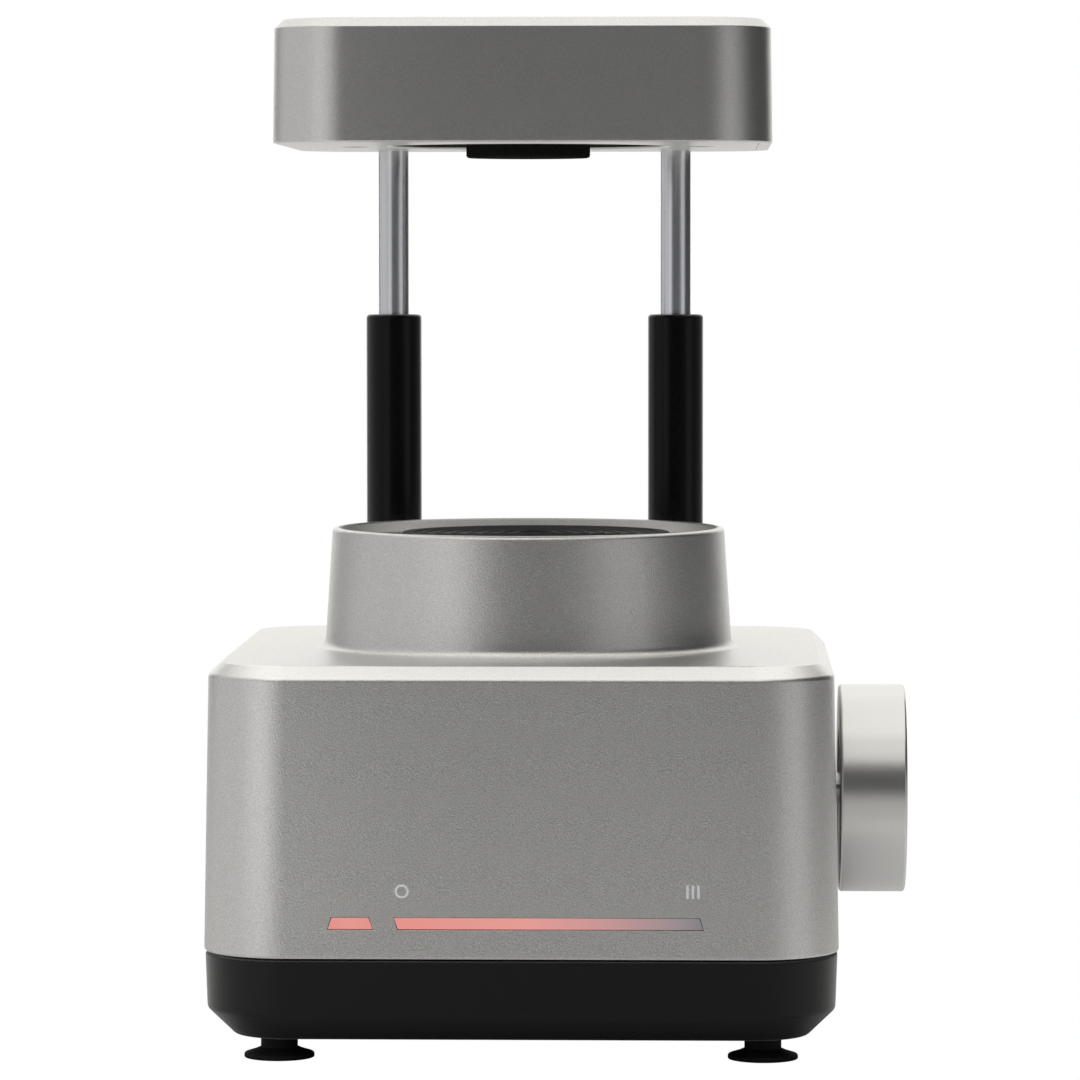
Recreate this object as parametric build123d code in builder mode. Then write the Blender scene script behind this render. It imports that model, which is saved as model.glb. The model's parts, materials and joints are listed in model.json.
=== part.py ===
from build123d import *
from math import radians, tan
import os

# A bench-top shaker for small paint bottles, as separate pieces that go together like the real ones.
# Millimetres, +Z up, the front looks towards -Y and the speed knob sits on the +X side.
# Sizes are worked out round the seat axis, which stands at X = Y = 0 on the table. The finished pieces are
# then moved along X, so that the origin lies under the middle of the whole footprint.

# Upper housing, a cast shell with draft on its four walls
housing_width = 120.3
housing_height = 54.7
housing_corner = 16.5
housing_draft = 1.04
housing_wall = 2.0
housing_top_wall = 4.0
housing_edge = 2.5

# Collar on top of the housing, part of the same casting. An inset is the distance from a housing side.
collar_inset = 20.15
collar_height = 23.3
collar_draft = 3.7
collar_wall = 6.0
collar_web = 5.5
collar_foot_radius = 1.8
collar_lip_radius = 0.9
seat_opening_inset = 11.8
seat_drop = 0.9

# Base tray under the housing
tray_inset = 0.25
tray_height = 15.4
tray_corner = 16.0
tray_draft = 2.0
tray_wall = 3.2
tray_floor = 2.4
tray_bevel = 5.1
tray_bevel_round = 1.0
tray_lip_height = 2.4
tray_lip_wall = 1.6
shadow_gap = 0.6
boss_gap = 0.2

# Suction feet
foot_height = 4.4
foot_inset = 14.1
foot_cup_diameter = 13.3
foot_cup_height = 2.6
foot_stem_diameter = 7.0
foot_neck_diameter = 5.0
foot_bulb_diameter = 7.6
foot_bulb_height = 2.2
foot_dish_depth = 0.7

# Columns that carry the head
column_spacing = 57.4
column_inset = 20.65
tube_diameter = 11.2
tube_wall = 0.8
tube_height = 64.7
tube_sunk = 45.1
tube_round = 0.7
rod_diameter = 6.2
rod_sunk = 74.3
rod_stud_diameter = 5.0
rod_seat_depth = 2.0
bush_length = 7.5
bush_recess = 0.5
piston_length = 7.5
piston_floor = 1.5
spring_wire = 0.8
socket_wall = 1.9
socket_floor = 2.0
socket_drain = 4.0
socket_flange_length = 34.0
socket_flange_width = 17.0
socket_flange_thickness = 3.0
socket_screw_spacing = 25.0

# Head. It reaches back past the columns' axes by the overhang, and as far to the front and sides.
head_overhang = 8.0
head_height = 23.4
head_corner = 13.5
head_draft = 0.9
head_wall = 2.5
head_top_wall = 3.0
head_edge = 1.7
head_lift = 33.2
head_plate_thickness = 4.0
head_recess_diameter = 55.4
head_recess_depth = 4.5
head_recess_wall = 2.0
rod_boss_diameter = 10.0
rod_boss_height = 6.0
plate_screw_margin = 6.2
plate_boss_diameter = 8.0

# Rubber clamp pad under the head
pad_diameter = 24.3
pad_drop = 2.2
pad_flange_thickness = 4.1
pad_stud_diameter = 6.0
pad_button_diameter = 9.0
pad_button_height = 2.0

# Seat and the bearing that lets it orbit without turning
orbit_radius = 1.45
seat_running_gap = 0.35
seat_mat_thickness = 1.5
seat_plate_thickness = 2.0
seat_hub_wall = 3.0
seat_hub_relief = 0.8
bearing_bore = 8.0
bearing_diameter = 22.0
bearing_width = 7.0
bearing_ring_inner_diameter = 11.2
bearing_ring_outer_diameter = 16.8
bearing_ball_count = 7
splash_ring_thickness = 1.8
splash_ring_gap = 2.0

# Crank and motor
motor_diameter = 37.0
motor_headroom = 14.7
motor_wall = 1.2
motor_front_wall = 3.0
motor_boss_diameter = 12.0
motor_boss_height = 2.0
motor_shaft_diameter = 5.0
motor_cap_thickness = 3.0
motor_screw_spacing = 25.0
magnet_thickness = 2.4
magnet_setback = 6.0
air_gap = 0.5
crank_flange_diameter = 22.0
crank_flange_thickness = 2.0
crank_hub_diameter = 14.0
crank_shoulder_height = 0.5
crank_height = 9.3
counterweight_radius = 24.0
counterweight_thickness = 5.0
counterweight_screw_radius = 9.0
bracket_length = 86.0
bracket_width = 46.0
bracket_thickness = 2.5
bracket_corner = 5.0
bracket_screw_x = 76.0
bracket_screw_y = 36.0
grommet_height = 3.1
grommet_diameter = 9.0

# Light windows in the front wall
window_height = 2.4
window_bottom = 25.7
window_slant = 0.75
power_window_inset = 25.35
power_window_width = 8.3
level_window_inset = 24.85
window_spacing = 4.8
window_flange = 1.2
window_flange_thickness = 1.2
light_carrier_inset = 20.15
light_carrier_height = 10.0
light_carrier_depth = 4.0
light_ear_length = 7.0
light_ear_thickness = 1.5
light_board_inset = 2.0
light_board_height = 8.0
board_thickness = 1.6
light_chip_length = 2.0
light_chip_height = 1.2
light_chip_depth = 0.8
light_chip_count = 8
light_boss_diameter = 5.2

# Speed knob and its control
knob_diameter = 40.7
knob_length = 12.9
knob_gap = 1.4
knob_wall = 9.0
knob_face = 3.0
knob_round = 0.6
knob_z = 47.0
knob_insert_thickness = 2.0
knob_hub_diameter = 12.0
control_shaft_diameter = 6.0
control_diameter = 17.0
control_length = 9.0
control_bush_diameter = 9.0
control_bush_length = 6.0
control_nut_across_flats = 12.0
control_nut_thickness = 2.0
control_plate_inset = 11.65
control_plate_thickness = 1.5
control_plate_width = 18.0
control_plate_height = 36.0
control_screw_spacing = 28.0
control_boss_diameter = 7.0

# Boards and power inlet
control_board_inset_x = 24.15
control_board_inset_y = 33.15
control_board_y = -5.0
board_post_height = 5.2
board_post_diameter = 6.0
board_post_inset = 4.0
capacitor_diameter = 8.0
capacitor_height = 7.0
inlet_z = 33.0
inlet_diameter = 8.0
inlet_flange_diameter = 11.0
inlet_flange_thickness = 1.0
inlet_depth = 14.0
inlet_bore_diameter = 5.7
inlet_bore_depth = 10.0
inlet_pin_diameter = 2.0
inlet_pin_setback = 1.0
inlet_nut_thickness = 2.0
inlet_nut_across_flats = 11.0

# Fasteners
screw_diameter = 3.0
small_screw_diameter = 2.5
screw_reach = 3.2
tray_boss_inset = 9.15
tray_boss_clearance = 1.5
tray_boss_diameter = 9.0
tray_boss_height = 22.6
tray_screw_reach = 8.0

# Clearances
fit_gap = 0.05
running_gap = 0.03
loose_gap = 0.15
lip_gap = 0.25
stop_gap = 0.3

# Levels, from the table up
tray_bottom = foot_height
tray_top = tray_bottom + tray_height
tray_inside = tray_bottom + tray_floor
housing_bottom = tray_top + shadow_gap
housing_top = housing_bottom + housing_height
ceiling = housing_top - housing_top_wall
lip_top = tray_top + tray_lip_height
boss_face = lip_top + boss_gap
collar_top = housing_top + collar_height
collar_web_bottom = collar_top - collar_web
seat_top = collar_top - seat_drop
tube_top = housing_top + tube_height
tube_bottom = housing_top - tube_sunk
head_bottom = tube_top + head_lift
head_top = head_bottom + head_height
head_ceiling = head_top - head_top_wall
head_plate_top = head_bottom + head_plate_thickness
rod_bottom = tube_top - rod_sunk
rod_shoulder = head_bottom + rod_seat_depth
rod_boss_top = head_plate_top + rod_boss_height
bush_top = tube_top - bush_recess
bush_bottom = bush_top - bush_length
piston_bottom = rod_bottom - piston_floor
piston_top = piston_bottom + piston_length

# Widths and places that follow the housing's width
collar_diameter = housing_width - 2 * collar_inset
seat_opening = collar_diameter - 2 * seat_opening_inset
tray_width = housing_width - 2 * tray_inset
foot_spread = tray_width - 2 * foot_inset
column_y = housing_width / 2 - column_inset
head_width = 2 * (column_y + head_overhang)
power_window_left = power_window_inset - housing_width / 2
level_window_left = power_window_left + power_window_width + window_spacing
level_window_width = housing_width / 2 - level_window_inset - level_window_left
light_carrier_length = housing_width - 2 * light_carrier_inset
light_board_length = light_carrier_length - 2 * light_board_inset
control_plate_x = housing_width / 2 - control_plate_inset
control_board_length = housing_width - 2 * control_board_inset_x
control_board_width = housing_width - 2 * control_board_inset_y
tray_boss_x = housing_width - 2 * tray_boss_inset
tray_boss_y = 2 * column_y - socket_flange_width - tray_boss_diameter - 2 * tray_boss_clearance

# Lengths that follow the housing's height and the head's recess
motor_length = housing_height - motor_headroom
magnet_length = motor_length - 2 * magnet_setback
plate_screw_spacing = head_recess_diameter + 2 * plate_screw_margin

# Widths that several pieces share
housing_slope = tan(radians(housing_draft))
housing_inside = housing_width - 2 * housing_wall
tray_foot_width = tray_width - 2 * tray_height * tan(radians(tray_draft))
tray_foot_corner = tray_corner - tray_height * tan(radians(tray_draft))
collar_bore = collar_diameter - 2 * collar_wall
head_inside = head_width - 2 * head_wall
tube_bore = tube_diameter - 2 * tube_wall
column_places = (("left", -column_spacing / 2), ("right", column_spacing / 2))
knob_back_x = housing_width / 2 - (knob_z - housing_bottom) * housing_slope + knob_gap
knob_face_x = knob_back_x + knob_length

# The footprint reaches from the left wall to the knob's face
frame_shift = (housing_width / 2 - knob_face_x) / 2

os.makedirs("parts", exist_ok=True)


def finish(piece, name):
    # Labels a finished piece, moves it from the seat axis to the shared origin and writes it.
    piece.part.label = name
    piece.part.move(Location((frame_shift, 0, 0)))
    export_step(piece.part, f"parts/{name}.step")


def pairs(spacing_x, spacing_y):
    # The four corners of a rectangle round the seat axis.
    return [(x * spacing_x / 2, y * spacing_y / 2) for x in (-1, 1) for y in (-1, 1)]


def front_plane(y):
    # A drawing plane that faces the viewer in front: its x is X and its y is Z.
    return Plane((0, y, 0), x_dir=(1, 0, 0), z_dir=(0, -1, 0))


def back_plane(y):
    # A drawing plane that faces backwards: its x is -X and its y is Z.
    return Plane((0, y, 0), x_dir=(-1, 0, 0), z_dir=(0, 1, 0))


def side_plane(x):
    # A drawing plane that faces the knob's side: its x is Y and its y is Z.
    return Plane((x, 0, 0), x_dir=(0, 1, 0), z_dir=(1, 0, 0))


def screw(plane, diameter, length):
    # A hexagon socket screw, with its head under the plane and its shank along the plane's normal.
    head_height = 0.7 * diameter
    with BuildSketch(plane) as shank:
        Circle(diameter / 2)
    extrude(shank.sketch, amount=length)
    with BuildSketch(plane.offset(-head_height)) as head:
        Circle(0.9 * diameter)
    extrude(head.sketch, amount=head_height)
    with BuildSketch(plane.offset(-head_height)) as socket:
        RegularPolygon(0.48 * diameter, 6)
    extrude(socket.sketch, amount=0.4 * diameter, mode=Mode.SUBTRACT)


def flat_screw(plane, diameter, length):
    # A countersunk screw whose flat head lies in the plane, with its shank along the plane's normal.
    head_height = 0.4 * diameter
    with BuildSketch(plane) as rim:
        Circle(0.9 * diameter)
    with BuildSketch(plane.offset(head_height)) as neck:
        Circle(diameter / 2)
    loft([rim.sketch, neck.sketch])
    extrude(neck.sketch, amount=length - head_height)
    with BuildSketch(plane) as socket:
        RegularPolygon(0.48 * diameter, 6)
    extrude(socket.sketch, amount=0.4 * diameter, mode=Mode.SUBTRACT)


def bore(plane, diameter, depth):
    # A round hole from the plane along its normal.
    with BuildSketch(plane) as mouth:
        Circle(diameter / 2)
    extrude(mouth.sketch, amount=depth, mode=Mode.SUBTRACT)


def ring(plane, outer_diameter, inner_diameter, height):
    # A tube or a washer on the plane.
    with BuildSketch(plane) as profile:
        Circle(outer_diameter / 2)
        Circle(inner_diameter / 2, mode=Mode.SUBTRACT)
    extrude(profile.sketch, amount=height)


def power_window_outline():
    # A low trapezium, wider at its foot.
    left = power_window_left
    right = left + power_window_width
    top = window_bottom + window_height
    Polygon(
        (left, window_bottom),
        (right, window_bottom),
        (right - window_slant, top),
        (left + window_slant, top),
        align=None,
    )


def level_window_outline():
    # A long bar whose ends both lean to the left.
    left = level_window_left
    right = left + level_window_width
    top = window_bottom + window_height
    Polygon(
        (left, window_bottom),
        (right, window_bottom),
        (right - window_slant, top),
        (left - window_slant, top),
        align=None,
    )


window_outlines = (
    ("power_window", power_window_outline),
    ("level_window", level_window_outline),
)

# Outer form of the housing walls, shared by the housing and the windows that lie flush in it
with BuildPart() as housing_form:
    with BuildSketch(Plane.XY.offset(housing_bottom)):
        RectangleRounded(housing_width, housing_width, housing_corner)
    extrude(amount=housing_height, taper=housing_draft)

# Upper housing: shell, collar, bosses and every opening in them
tray_boss_top = boss_face + tray_boss_height
boss_reach = housing_width / 2 - housing_wall / 2 - (tray_boss_top - housing_bottom) * housing_slope
light_wall_y = housing_inside / 2 - (window_bottom + window_height / 2 - housing_bottom) * housing_slope
light_carrier_z = window_bottom + window_height / 2 + 1.0
light_carrier_front = (
    housing_inside / 2
    - (light_carrier_z + light_carrier_height / 2 - housing_bottom) * housing_slope
    - fit_gap
)
light_carrier_back = light_carrier_front - light_carrier_depth
light_boss_x = light_carrier_length / 2 + light_ear_length / 2
light_boss_face = light_carrier_back + light_ear_thickness
control_boss_length = boss_reach - control_plate_x - control_plate_thickness
control_screw_levels = (knob_z - control_screw_spacing / 2, knob_z + control_screw_spacing / 2)
collar_slope = tan(radians(collar_draft))
inlet_wall_y = housing_width / 2 - (inlet_z + inlet_flange_diameter / 2 - housing_bottom) * housing_slope
inlet_face_y = inlet_wall_y - inlet_flange_thickness

with BuildPart() as upper_housing:
    add(housing_form.part)
    chamfer(upper_housing.edges().group_by(Axis.Z)[-1], housing_edge)
    # Collar with its sloping top, then the round foot where it grows out of the top wall
    with BuildSketch(Plane.XZ) as collar_profile:
        with BuildLine():
            Polyline(
                (seat_opening / 2, ceiling),
                (collar_diameter / 2 + housing_top_wall * collar_slope, ceiling),
                (collar_diameter / 2 - collar_height * collar_slope, collar_top),
                (seat_opening / 2, seat_top),
                close=True,
            )
        make_face()
        fillet(collar_profile.vertices().sort_by(Axis.Y)[-1], collar_lip_radius)
    revolve(axis=Axis.Z)
    fillet(
        upper_housing.edges()
        .filter_by(GeomType.CIRCLE)
        .filter_by_position(Axis.Z, housing_top - 0.01, housing_top + 0.01)
        .filter_by(lambda edge: abs(edge.radius - collar_diameter / 2) < 0.5),
        collar_foot_radius,
    )
    # Inside of the shell
    with BuildSketch(Plane.XY.offset(housing_bottom)):
        RectangleRounded(housing_inside, housing_inside, housing_corner - housing_wall)
    extrude(amount=housing_height - housing_top_wall, taper=housing_draft, mode=Mode.SUBTRACT)
    # Room for the crank inside the collar, and the opening for the seat above it
    bore(Plane.XY.offset(ceiling), collar_bore, collar_web_bottom - ceiling)
    bore(Plane.XY.offset(collar_web_bottom), seat_opening, collar_web)
    # Blocks on the side walls that take the tray screws
    for x, y in pairs(tray_boss_x, tray_boss_y):
        side = 1 if x > 0 else -1
        block_inner = tray_boss_x / 2 - tray_boss_diameter / 2
        block_width = boss_reach - block_inner
        with BuildSketch(Plane.XY.offset(boss_face)):
            with Locations((side * (block_inner + block_width / 2), y)):
                Rectangle(block_width, tray_boss_diameter)
        extrude(amount=tray_boss_height)
        bore(Plane((x, y, boss_face)), screw_diameter + 2 * fit_gap, tray_screw_reach + 1)
    # Bosses for the light carrier's ears
    for x in (-light_boss_x, light_boss_x):
        with BuildSketch(front_plane(-light_boss_face)):
            with Locations((x, light_carrier_z)):
                Circle(light_boss_diameter / 2)
        extrude(amount=light_wall_y - light_boss_face + housing_wall / 2)
        with BuildSketch(front_plane(-light_boss_face)):
            with Locations((x, light_carrier_z)):
                Circle(small_screw_diameter / 2 + fit_gap)
        extrude(amount=light_wall_y - light_boss_face, mode=Mode.SUBTRACT)
    # Bosses for the control plate
    for z in control_screw_levels:
        with BuildSketch(side_plane(control_plate_x + control_plate_thickness)):
            with Locations((0, z)):
                Circle(control_boss_diameter / 2)
        extrude(amount=control_boss_length)
        with BuildSketch(side_plane(control_plate_x + control_plate_thickness)):
            with Locations((0, z)):
                Circle(small_screw_diameter / 2 + fit_gap)
        extrude(amount=control_boss_length - housing_wall, mode=Mode.SUBTRACT)
    # Hole for the control shaft
    with BuildSketch(side_plane(control_plate_x + control_plate_thickness)):
        with Locations((0, knob_z)):
            Circle(control_shaft_diameter / 2 + loose_gap)
    extrude(amount=housing_width / 2, mode=Mode.SUBTRACT)
    # Slots for the light windows
    for window_name, window_outline in window_outlines:
        with BuildSketch(front_plane(-light_carrier_front)):
            window_outline()
            offset(amount=fit_gap)
        extrude(amount=2 * housing_wall, mode=Mode.SUBTRACT)
    # Hole for the power inlet, with a flat seat for its flange
    with BuildSketch(back_plane(housing_inside / 2 - 2 * housing_wall)):
        with Locations((0, inlet_z)):
            Circle(inlet_diameter / 2 + fit_gap)
    extrude(amount=4 * housing_wall, mode=Mode.SUBTRACT)
    with BuildSketch(back_plane(inlet_face_y)):
        with Locations((0, inlet_z)):
            Circle(inlet_flange_diameter / 2 + loose_gap)
    extrude(amount=2 * housing_wall, mode=Mode.SUBTRACT)
    # Holes for the guide tubes and threads for their sockets
    for name, x in column_places:
        bore(Plane((x, column_y, ceiling)), tube_diameter + 2 * loose_gap, housing_top_wall)
        for step in (-socket_screw_spacing / 2, socket_screw_spacing / 2):
            bore(Plane((x + step, column_y, ceiling)), screw_diameter + 2 * fit_gap, screw_reach)
    # Threads for the motor bracket
    for x, y in pairs(bracket_screw_x, bracket_screw_y):
        bore(Plane((x, y, ceiling)), screw_diameter + 2 * fit_gap, screw_reach)
finish(upper_housing, "upper_housing")

# Base tray: a shallow pan with a bevelled foot, a lip that enters the housing, and posts
with BuildPart() as tray_hollow:
    with BuildSketch(Plane.XY.offset(tray_inside)):
        RectangleRounded(
            tray_foot_width - 2 * tray_wall,
            tray_foot_width - 2 * tray_wall,
            tray_foot_corner - tray_wall,
        )
    extrude(amount=tray_height, taper=-tray_draft)
    chamfer(tray_hollow.edges().group_by(Axis.Z)[0], tray_bevel - tray_floor / 2)

lip_width = housing_inside - 2 * lip_gap
board_post_spacing_x = control_board_length - 2 * board_post_inset
board_post_spacing_y = control_board_width - 2 * board_post_inset
board_post_places = [(x, y + control_board_y) for x, y in pairs(board_post_spacing_x, board_post_spacing_y)]
with BuildPart() as base_tray:
    with BuildSketch(Plane.XY.offset(tray_bottom)):
        RectangleRounded(tray_foot_width, tray_foot_width, tray_foot_corner)
    extrude(amount=tray_height, taper=-tray_draft)
    chamfer(base_tray.edges().group_by(Axis.Z)[0], tray_bevel)
    fillet(base_tray.edges().group_by(Axis.Z)[0], tray_bevel_round)
    add(tray_hollow.part, mode=Mode.SUBTRACT)
    # Lip
    with BuildSketch(Plane.XY.offset(tray_top - tray_lip_wall)):
        RectangleRounded(lip_width, lip_width, housing_corner - housing_wall - lip_gap)
        offset(amount=-tray_lip_wall, mode=Mode.SUBTRACT)
    extrude(amount=tray_lip_height + tray_lip_wall, taper=housing_draft)
    # Posts for the housing screws, with their heads sunk from below
    for x, y in pairs(tray_boss_x, tray_boss_y):
        with BuildSketch(Plane((x, y, tray_inside))):
            Circle(tray_boss_diameter / 2)
        extrude(amount=boss_face - tray_inside)
        bore(Plane((x, y, tray_bottom)), screw_diameter + 2 * loose_gap, boss_face - tray_bottom)
        bore(Plane((x, y, tray_bottom)), 1.8 * screw_diameter + 2 * loose_gap, tray_floor + loose_gap)
    # Posts for the control board
    for x, y in board_post_places:
        with BuildSketch(Plane((x, y, tray_inside))):
            Circle(board_post_diameter / 2)
        extrude(amount=board_post_height)
        bore(Plane((x, y, tray_inside)), small_screw_diameter + 2 * fit_gap, board_post_height)
    # Holes for the feet
    for x, y in pairs(foot_spread, foot_spread):
        bore(Plane((x, y, tray_bottom)), foot_neck_diameter + 2 * fit_gap, tray_floor)
finish(base_tray, "base_tray")

with BuildPart() as tray_screws:
    for x, y in pairs(tray_boss_x, tray_boss_y):
        head_seat = tray_inside + loose_gap
        screw(Plane((x, y, head_seat)), screw_diameter, boss_face - head_seat + tray_screw_reach)
finish(tray_screws, "tray_screws")

# Feet: a suction cup on a stem, with a neck and a bulb that snap into the tray floor
foot_places = {
    "foot_front_left": (-1, -1),
    "foot_front_right": (1, -1),
    "foot_rear_left": (-1, 1),
    "foot_rear_right": (1, 1),
}
for foot_name, (side_x, side_y) in foot_places.items():
    foot_plane = Plane(
        (side_x * foot_spread / 2, side_y * foot_spread / 2, 0), x_dir=(1, 0, 0), z_dir=(0, -1, 0)
    )
    foot_axis = Axis((side_x * foot_spread / 2, side_y * foot_spread / 2, 0), (0, 0, 1))
    cup_radius = foot_cup_diameter / 2
    stem_radius = foot_stem_diameter / 2
    neck_radius = foot_neck_diameter / 2
    bulb_radius = foot_bulb_diameter / 2
    bulb_bottom = tray_inside
    with BuildPart() as foot:
        with BuildSketch(foot_plane):
            with BuildLine():
                Polyline(
                    (0, foot_dish_depth),
                    (0, bulb_bottom + foot_bulb_height),
                    (neck_radius, bulb_bottom + foot_bulb_height),
                    (bulb_radius, bulb_bottom + foot_bulb_height / 3),
                    (bulb_radius, bulb_bottom),
                    (neck_radius, bulb_bottom),
                    (neck_radius, foot_height),
                    (stem_radius, foot_height),
                    (stem_radius, foot_cup_height),
                )
                ThreePointArc(
                    (stem_radius, foot_cup_height),
                    ((stem_radius + cup_radius) / 2 + 0.5, 0.78 * foot_cup_height),
                    (cup_radius, 0.3 * foot_cup_height),
                )
                Polyline(
                    (cup_radius, 0.3 * foot_cup_height),
                    (cup_radius, 0),
                    (cup_radius - 1, 0),
                    (cup_radius - 1 - foot_dish_depth, foot_dish_depth),
                    (0, foot_dish_depth),
                )
            make_face()
        revolve(axis=foot_axis)
    finish(foot, foot_name)

# Columns: sockets under the top wall, tubes, bushes, rods, pistons and springs
socket_diameter = tube_diameter + 2 * fit_gap + 2 * socket_wall
for side_name, x in column_places:
    with BuildPart() as column_socket:
        with BuildSketch(Plane((x, column_y, ceiling - socket_flange_thickness))):
            SlotOverall(socket_flange_length, socket_flange_width)
        extrude(amount=socket_flange_thickness)
        with BuildSketch(Plane((x, column_y, tube_bottom - socket_floor))):
            Circle(socket_diameter / 2)
        extrude(amount=ceiling - tube_bottom + socket_floor)
        bore(Plane((x, column_y, tube_bottom)), tube_diameter + 2 * fit_gap, ceiling - tube_bottom)
        bore(Plane((x, column_y, tube_bottom - socket_floor)), socket_drain, socket_floor)
        for step in (-socket_screw_spacing / 2, socket_screw_spacing / 2):
            bore(
                Plane((x + step, column_y, ceiling - socket_flange_thickness)),
                screw_diameter + 2 * loose_gap,
                socket_flange_thickness,
            )
    finish(column_socket, f"column_socket_{side_name}")

    with BuildPart() as guide_tube:
        ring(Plane((x, column_y, tube_bottom)), tube_diameter, tube_bore, tube_top - tube_bottom)
        fillet(guide_tube.edges().group_by(Axis.Z)[-1].sort_by(SortBy.LENGTH)[-1], tube_round)
    finish(guide_tube, f"guide_tube_{side_name}")

    with BuildPart() as guide_bush:
        ring(
            Plane((x, column_y, bush_bottom)),
            tube_bore - 2 * fit_gap,
            rod_diameter + 2 * fit_gap,
            bush_length,
        )
    finish(guide_bush, f"guide_bush_{side_name}")

    with BuildPart() as head_spring:
        ring(
            Plane((x, column_y, piston_top)),
            rod_diameter + 2 * stop_gap + 2 * spring_wire,
            rod_diameter + 2 * stop_gap,
            bush_bottom - piston_top,
        )
    finish(head_spring, f"head_spring_{side_name}")

    with BuildPart() as guide_rod:
        with BuildSketch(Plane((x, column_y, rod_bottom))):
            Circle(rod_diameter / 2)
        extrude(amount=rod_shoulder - rod_bottom)
        with BuildSketch(Plane((x, column_y, rod_shoulder))):
            Circle(rod_stud_diameter / 2)
        extrude(amount=rod_boss_top + rod_stud_diameter - rod_shoulder)
    finish(guide_rod, f"guide_rod_{side_name}")

    with BuildPart() as rod_piston:
        with BuildSketch(Plane((x, column_y, piston_bottom))):
            Circle(tube_bore / 2 - loose_gap)
        extrude(amount=piston_length)
        bore(Plane((x, column_y, rod_bottom)), rod_diameter + 2 * fit_gap, piston_length)
    finish(rod_piston, f"rod_piston_{side_name}")

with BuildPart() as socket_screws:
    for side_name, x in column_places:
        for step in (-socket_screw_spacing / 2, socket_screw_spacing / 2):
            screw_seat = ceiling - socket_flange_thickness
            screw(
                Plane((x + step, column_y, screw_seat)),
                screw_diameter,
                socket_flange_thickness + screw_reach - loose_gap,
            )
finish(socket_screws, "socket_screws")

# Head: cast shell, plate that closes it from below, clamp pad and fasteners
with BuildPart() as head_shell:
    with BuildSketch(Plane.XY.offset(head_bottom)):
        RectangleRounded(head_width, head_width, head_corner)
    extrude(amount=head_height, taper=head_draft)
    chamfer(head_shell.edges().group_by(Axis.Z)[-1], head_edge)
    with BuildSketch(Plane.XY.offset(head_bottom)):
        RectangleRounded(head_inside, head_inside, head_corner - head_wall)
    extrude(amount=head_height - head_top_wall, taper=head_draft, mode=Mode.SUBTRACT)
    for x in (-plate_screw_spacing / 2, plate_screw_spacing / 2):
        with BuildSketch(Plane((x, 0, head_plate_top))):
            Circle(plate_boss_diameter / 2)
        extrude(amount=head_ceiling - head_plate_top)
        bore(Plane((x, 0, head_plate_top)), screw_diameter + 2 * fit_gap, 2 * screw_diameter + 1)
finish(head_shell, "head_shell")

recess_top = head_bottom + head_recess_depth
recess_roof = recess_top + head_recess_wall
with BuildPart() as head_plate:
    with BuildSketch(Plane.XY.offset(head_bottom)):
        RectangleRounded(
            head_inside - 2 * loose_gap,
            head_inside - 2 * loose_gap,
            head_corner - head_wall - loose_gap,
        )
    extrude(amount=head_plate_thickness, taper=head_draft)
    # Raised cup that makes the round recess
    with BuildSketch(Plane.XY.offset(head_bottom)):
        Circle(head_recess_diameter / 2 + head_recess_wall)
    extrude(amount=recess_roof - head_bottom)
    bore(Plane.XY.offset(head_bottom), head_recess_diameter, head_recess_depth)
    bore(Plane.XY.offset(recess_top), pad_stud_diameter + 2 * fit_gap, head_recess_wall)
    # Bosses that hold the rods
    for side_name, x in column_places:
        with BuildSketch(Plane((x, column_y, head_bottom))):
            Circle(rod_boss_diameter / 2)
        extrude(amount=rod_boss_top - head_bottom)
        bore(Plane((x, column_y, head_bottom)), rod_diameter + 2 * fit_gap, rod_seat_depth)
        bore(Plane((x, column_y, rod_shoulder)), rod_stud_diameter + 2 * fit_gap, rod_boss_top - rod_shoulder)
    # Countersunk holes for the two screws that show from below
    for x in (-plate_screw_spacing / 2, plate_screw_spacing / 2):
        with Locations(Plane((x, 0, head_bottom), z_dir=(0, 0, -1))):
            CounterSinkHole(
                radius=screw_diameter / 2 + fit_gap,
                counter_sink_radius=0.9 * screw_diameter + 2 * fit_gap,
                depth=head_plate_thickness,
            )
finish(head_plate, "head_plate")

with BuildPart() as clamp_pad:
    with BuildSketch(Plane.XY.offset(recess_top - pad_flange_thickness)):
        Circle(head_recess_diameter / 2 - stop_gap)
    extrude(amount=pad_flange_thickness)
    with BuildSketch(Plane.XY.offset(head_bottom - pad_drop)):
        Circle(pad_diameter / 2)
    extrude(amount=pad_drop + head_recess_depth - pad_flange_thickness)
    fillet(clamp_pad.edges().group_by(Axis.Z)[0], pad_drop / 4)
    # Stud and button that snap through the roof of the recess
    with BuildSketch(Plane.XY.offset(recess_top)):
        Circle(pad_stud_diameter / 2)
    extrude(amount=head_recess_wall)
    with BuildSketch(Plane.XY.offset(recess_roof)):
        Circle(pad_button_diameter / 2)
    extrude(amount=pad_button_height)
    fillet(clamp_pad.edges().group_by(Axis.Z)[-1], pad_button_height / 3)
finish(clamp_pad, "clamp_pad")

with BuildPart() as plate_screws:
    for x in (-plate_screw_spacing / 2, plate_screw_spacing / 2):
        flat_screw(Plane((x, 0, head_bottom)), screw_diameter, head_plate_thickness + 2 * screw_diameter)
finish(plate_screws, "plate_screws")

with BuildPart() as rod_nuts:
    for side_name, x in column_places:
        with BuildSketch(Plane((x, column_y, rod_boss_top))):
            RegularPolygon(0.8 * rod_stud_diameter, 6, major_radius=False)
            Circle(rod_stud_diameter / 2 + fit_gap, mode=Mode.SUBTRACT)
        extrude(amount=0.8 * rod_stud_diameter)
finish(rod_nuts, "rod_nuts")

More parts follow.
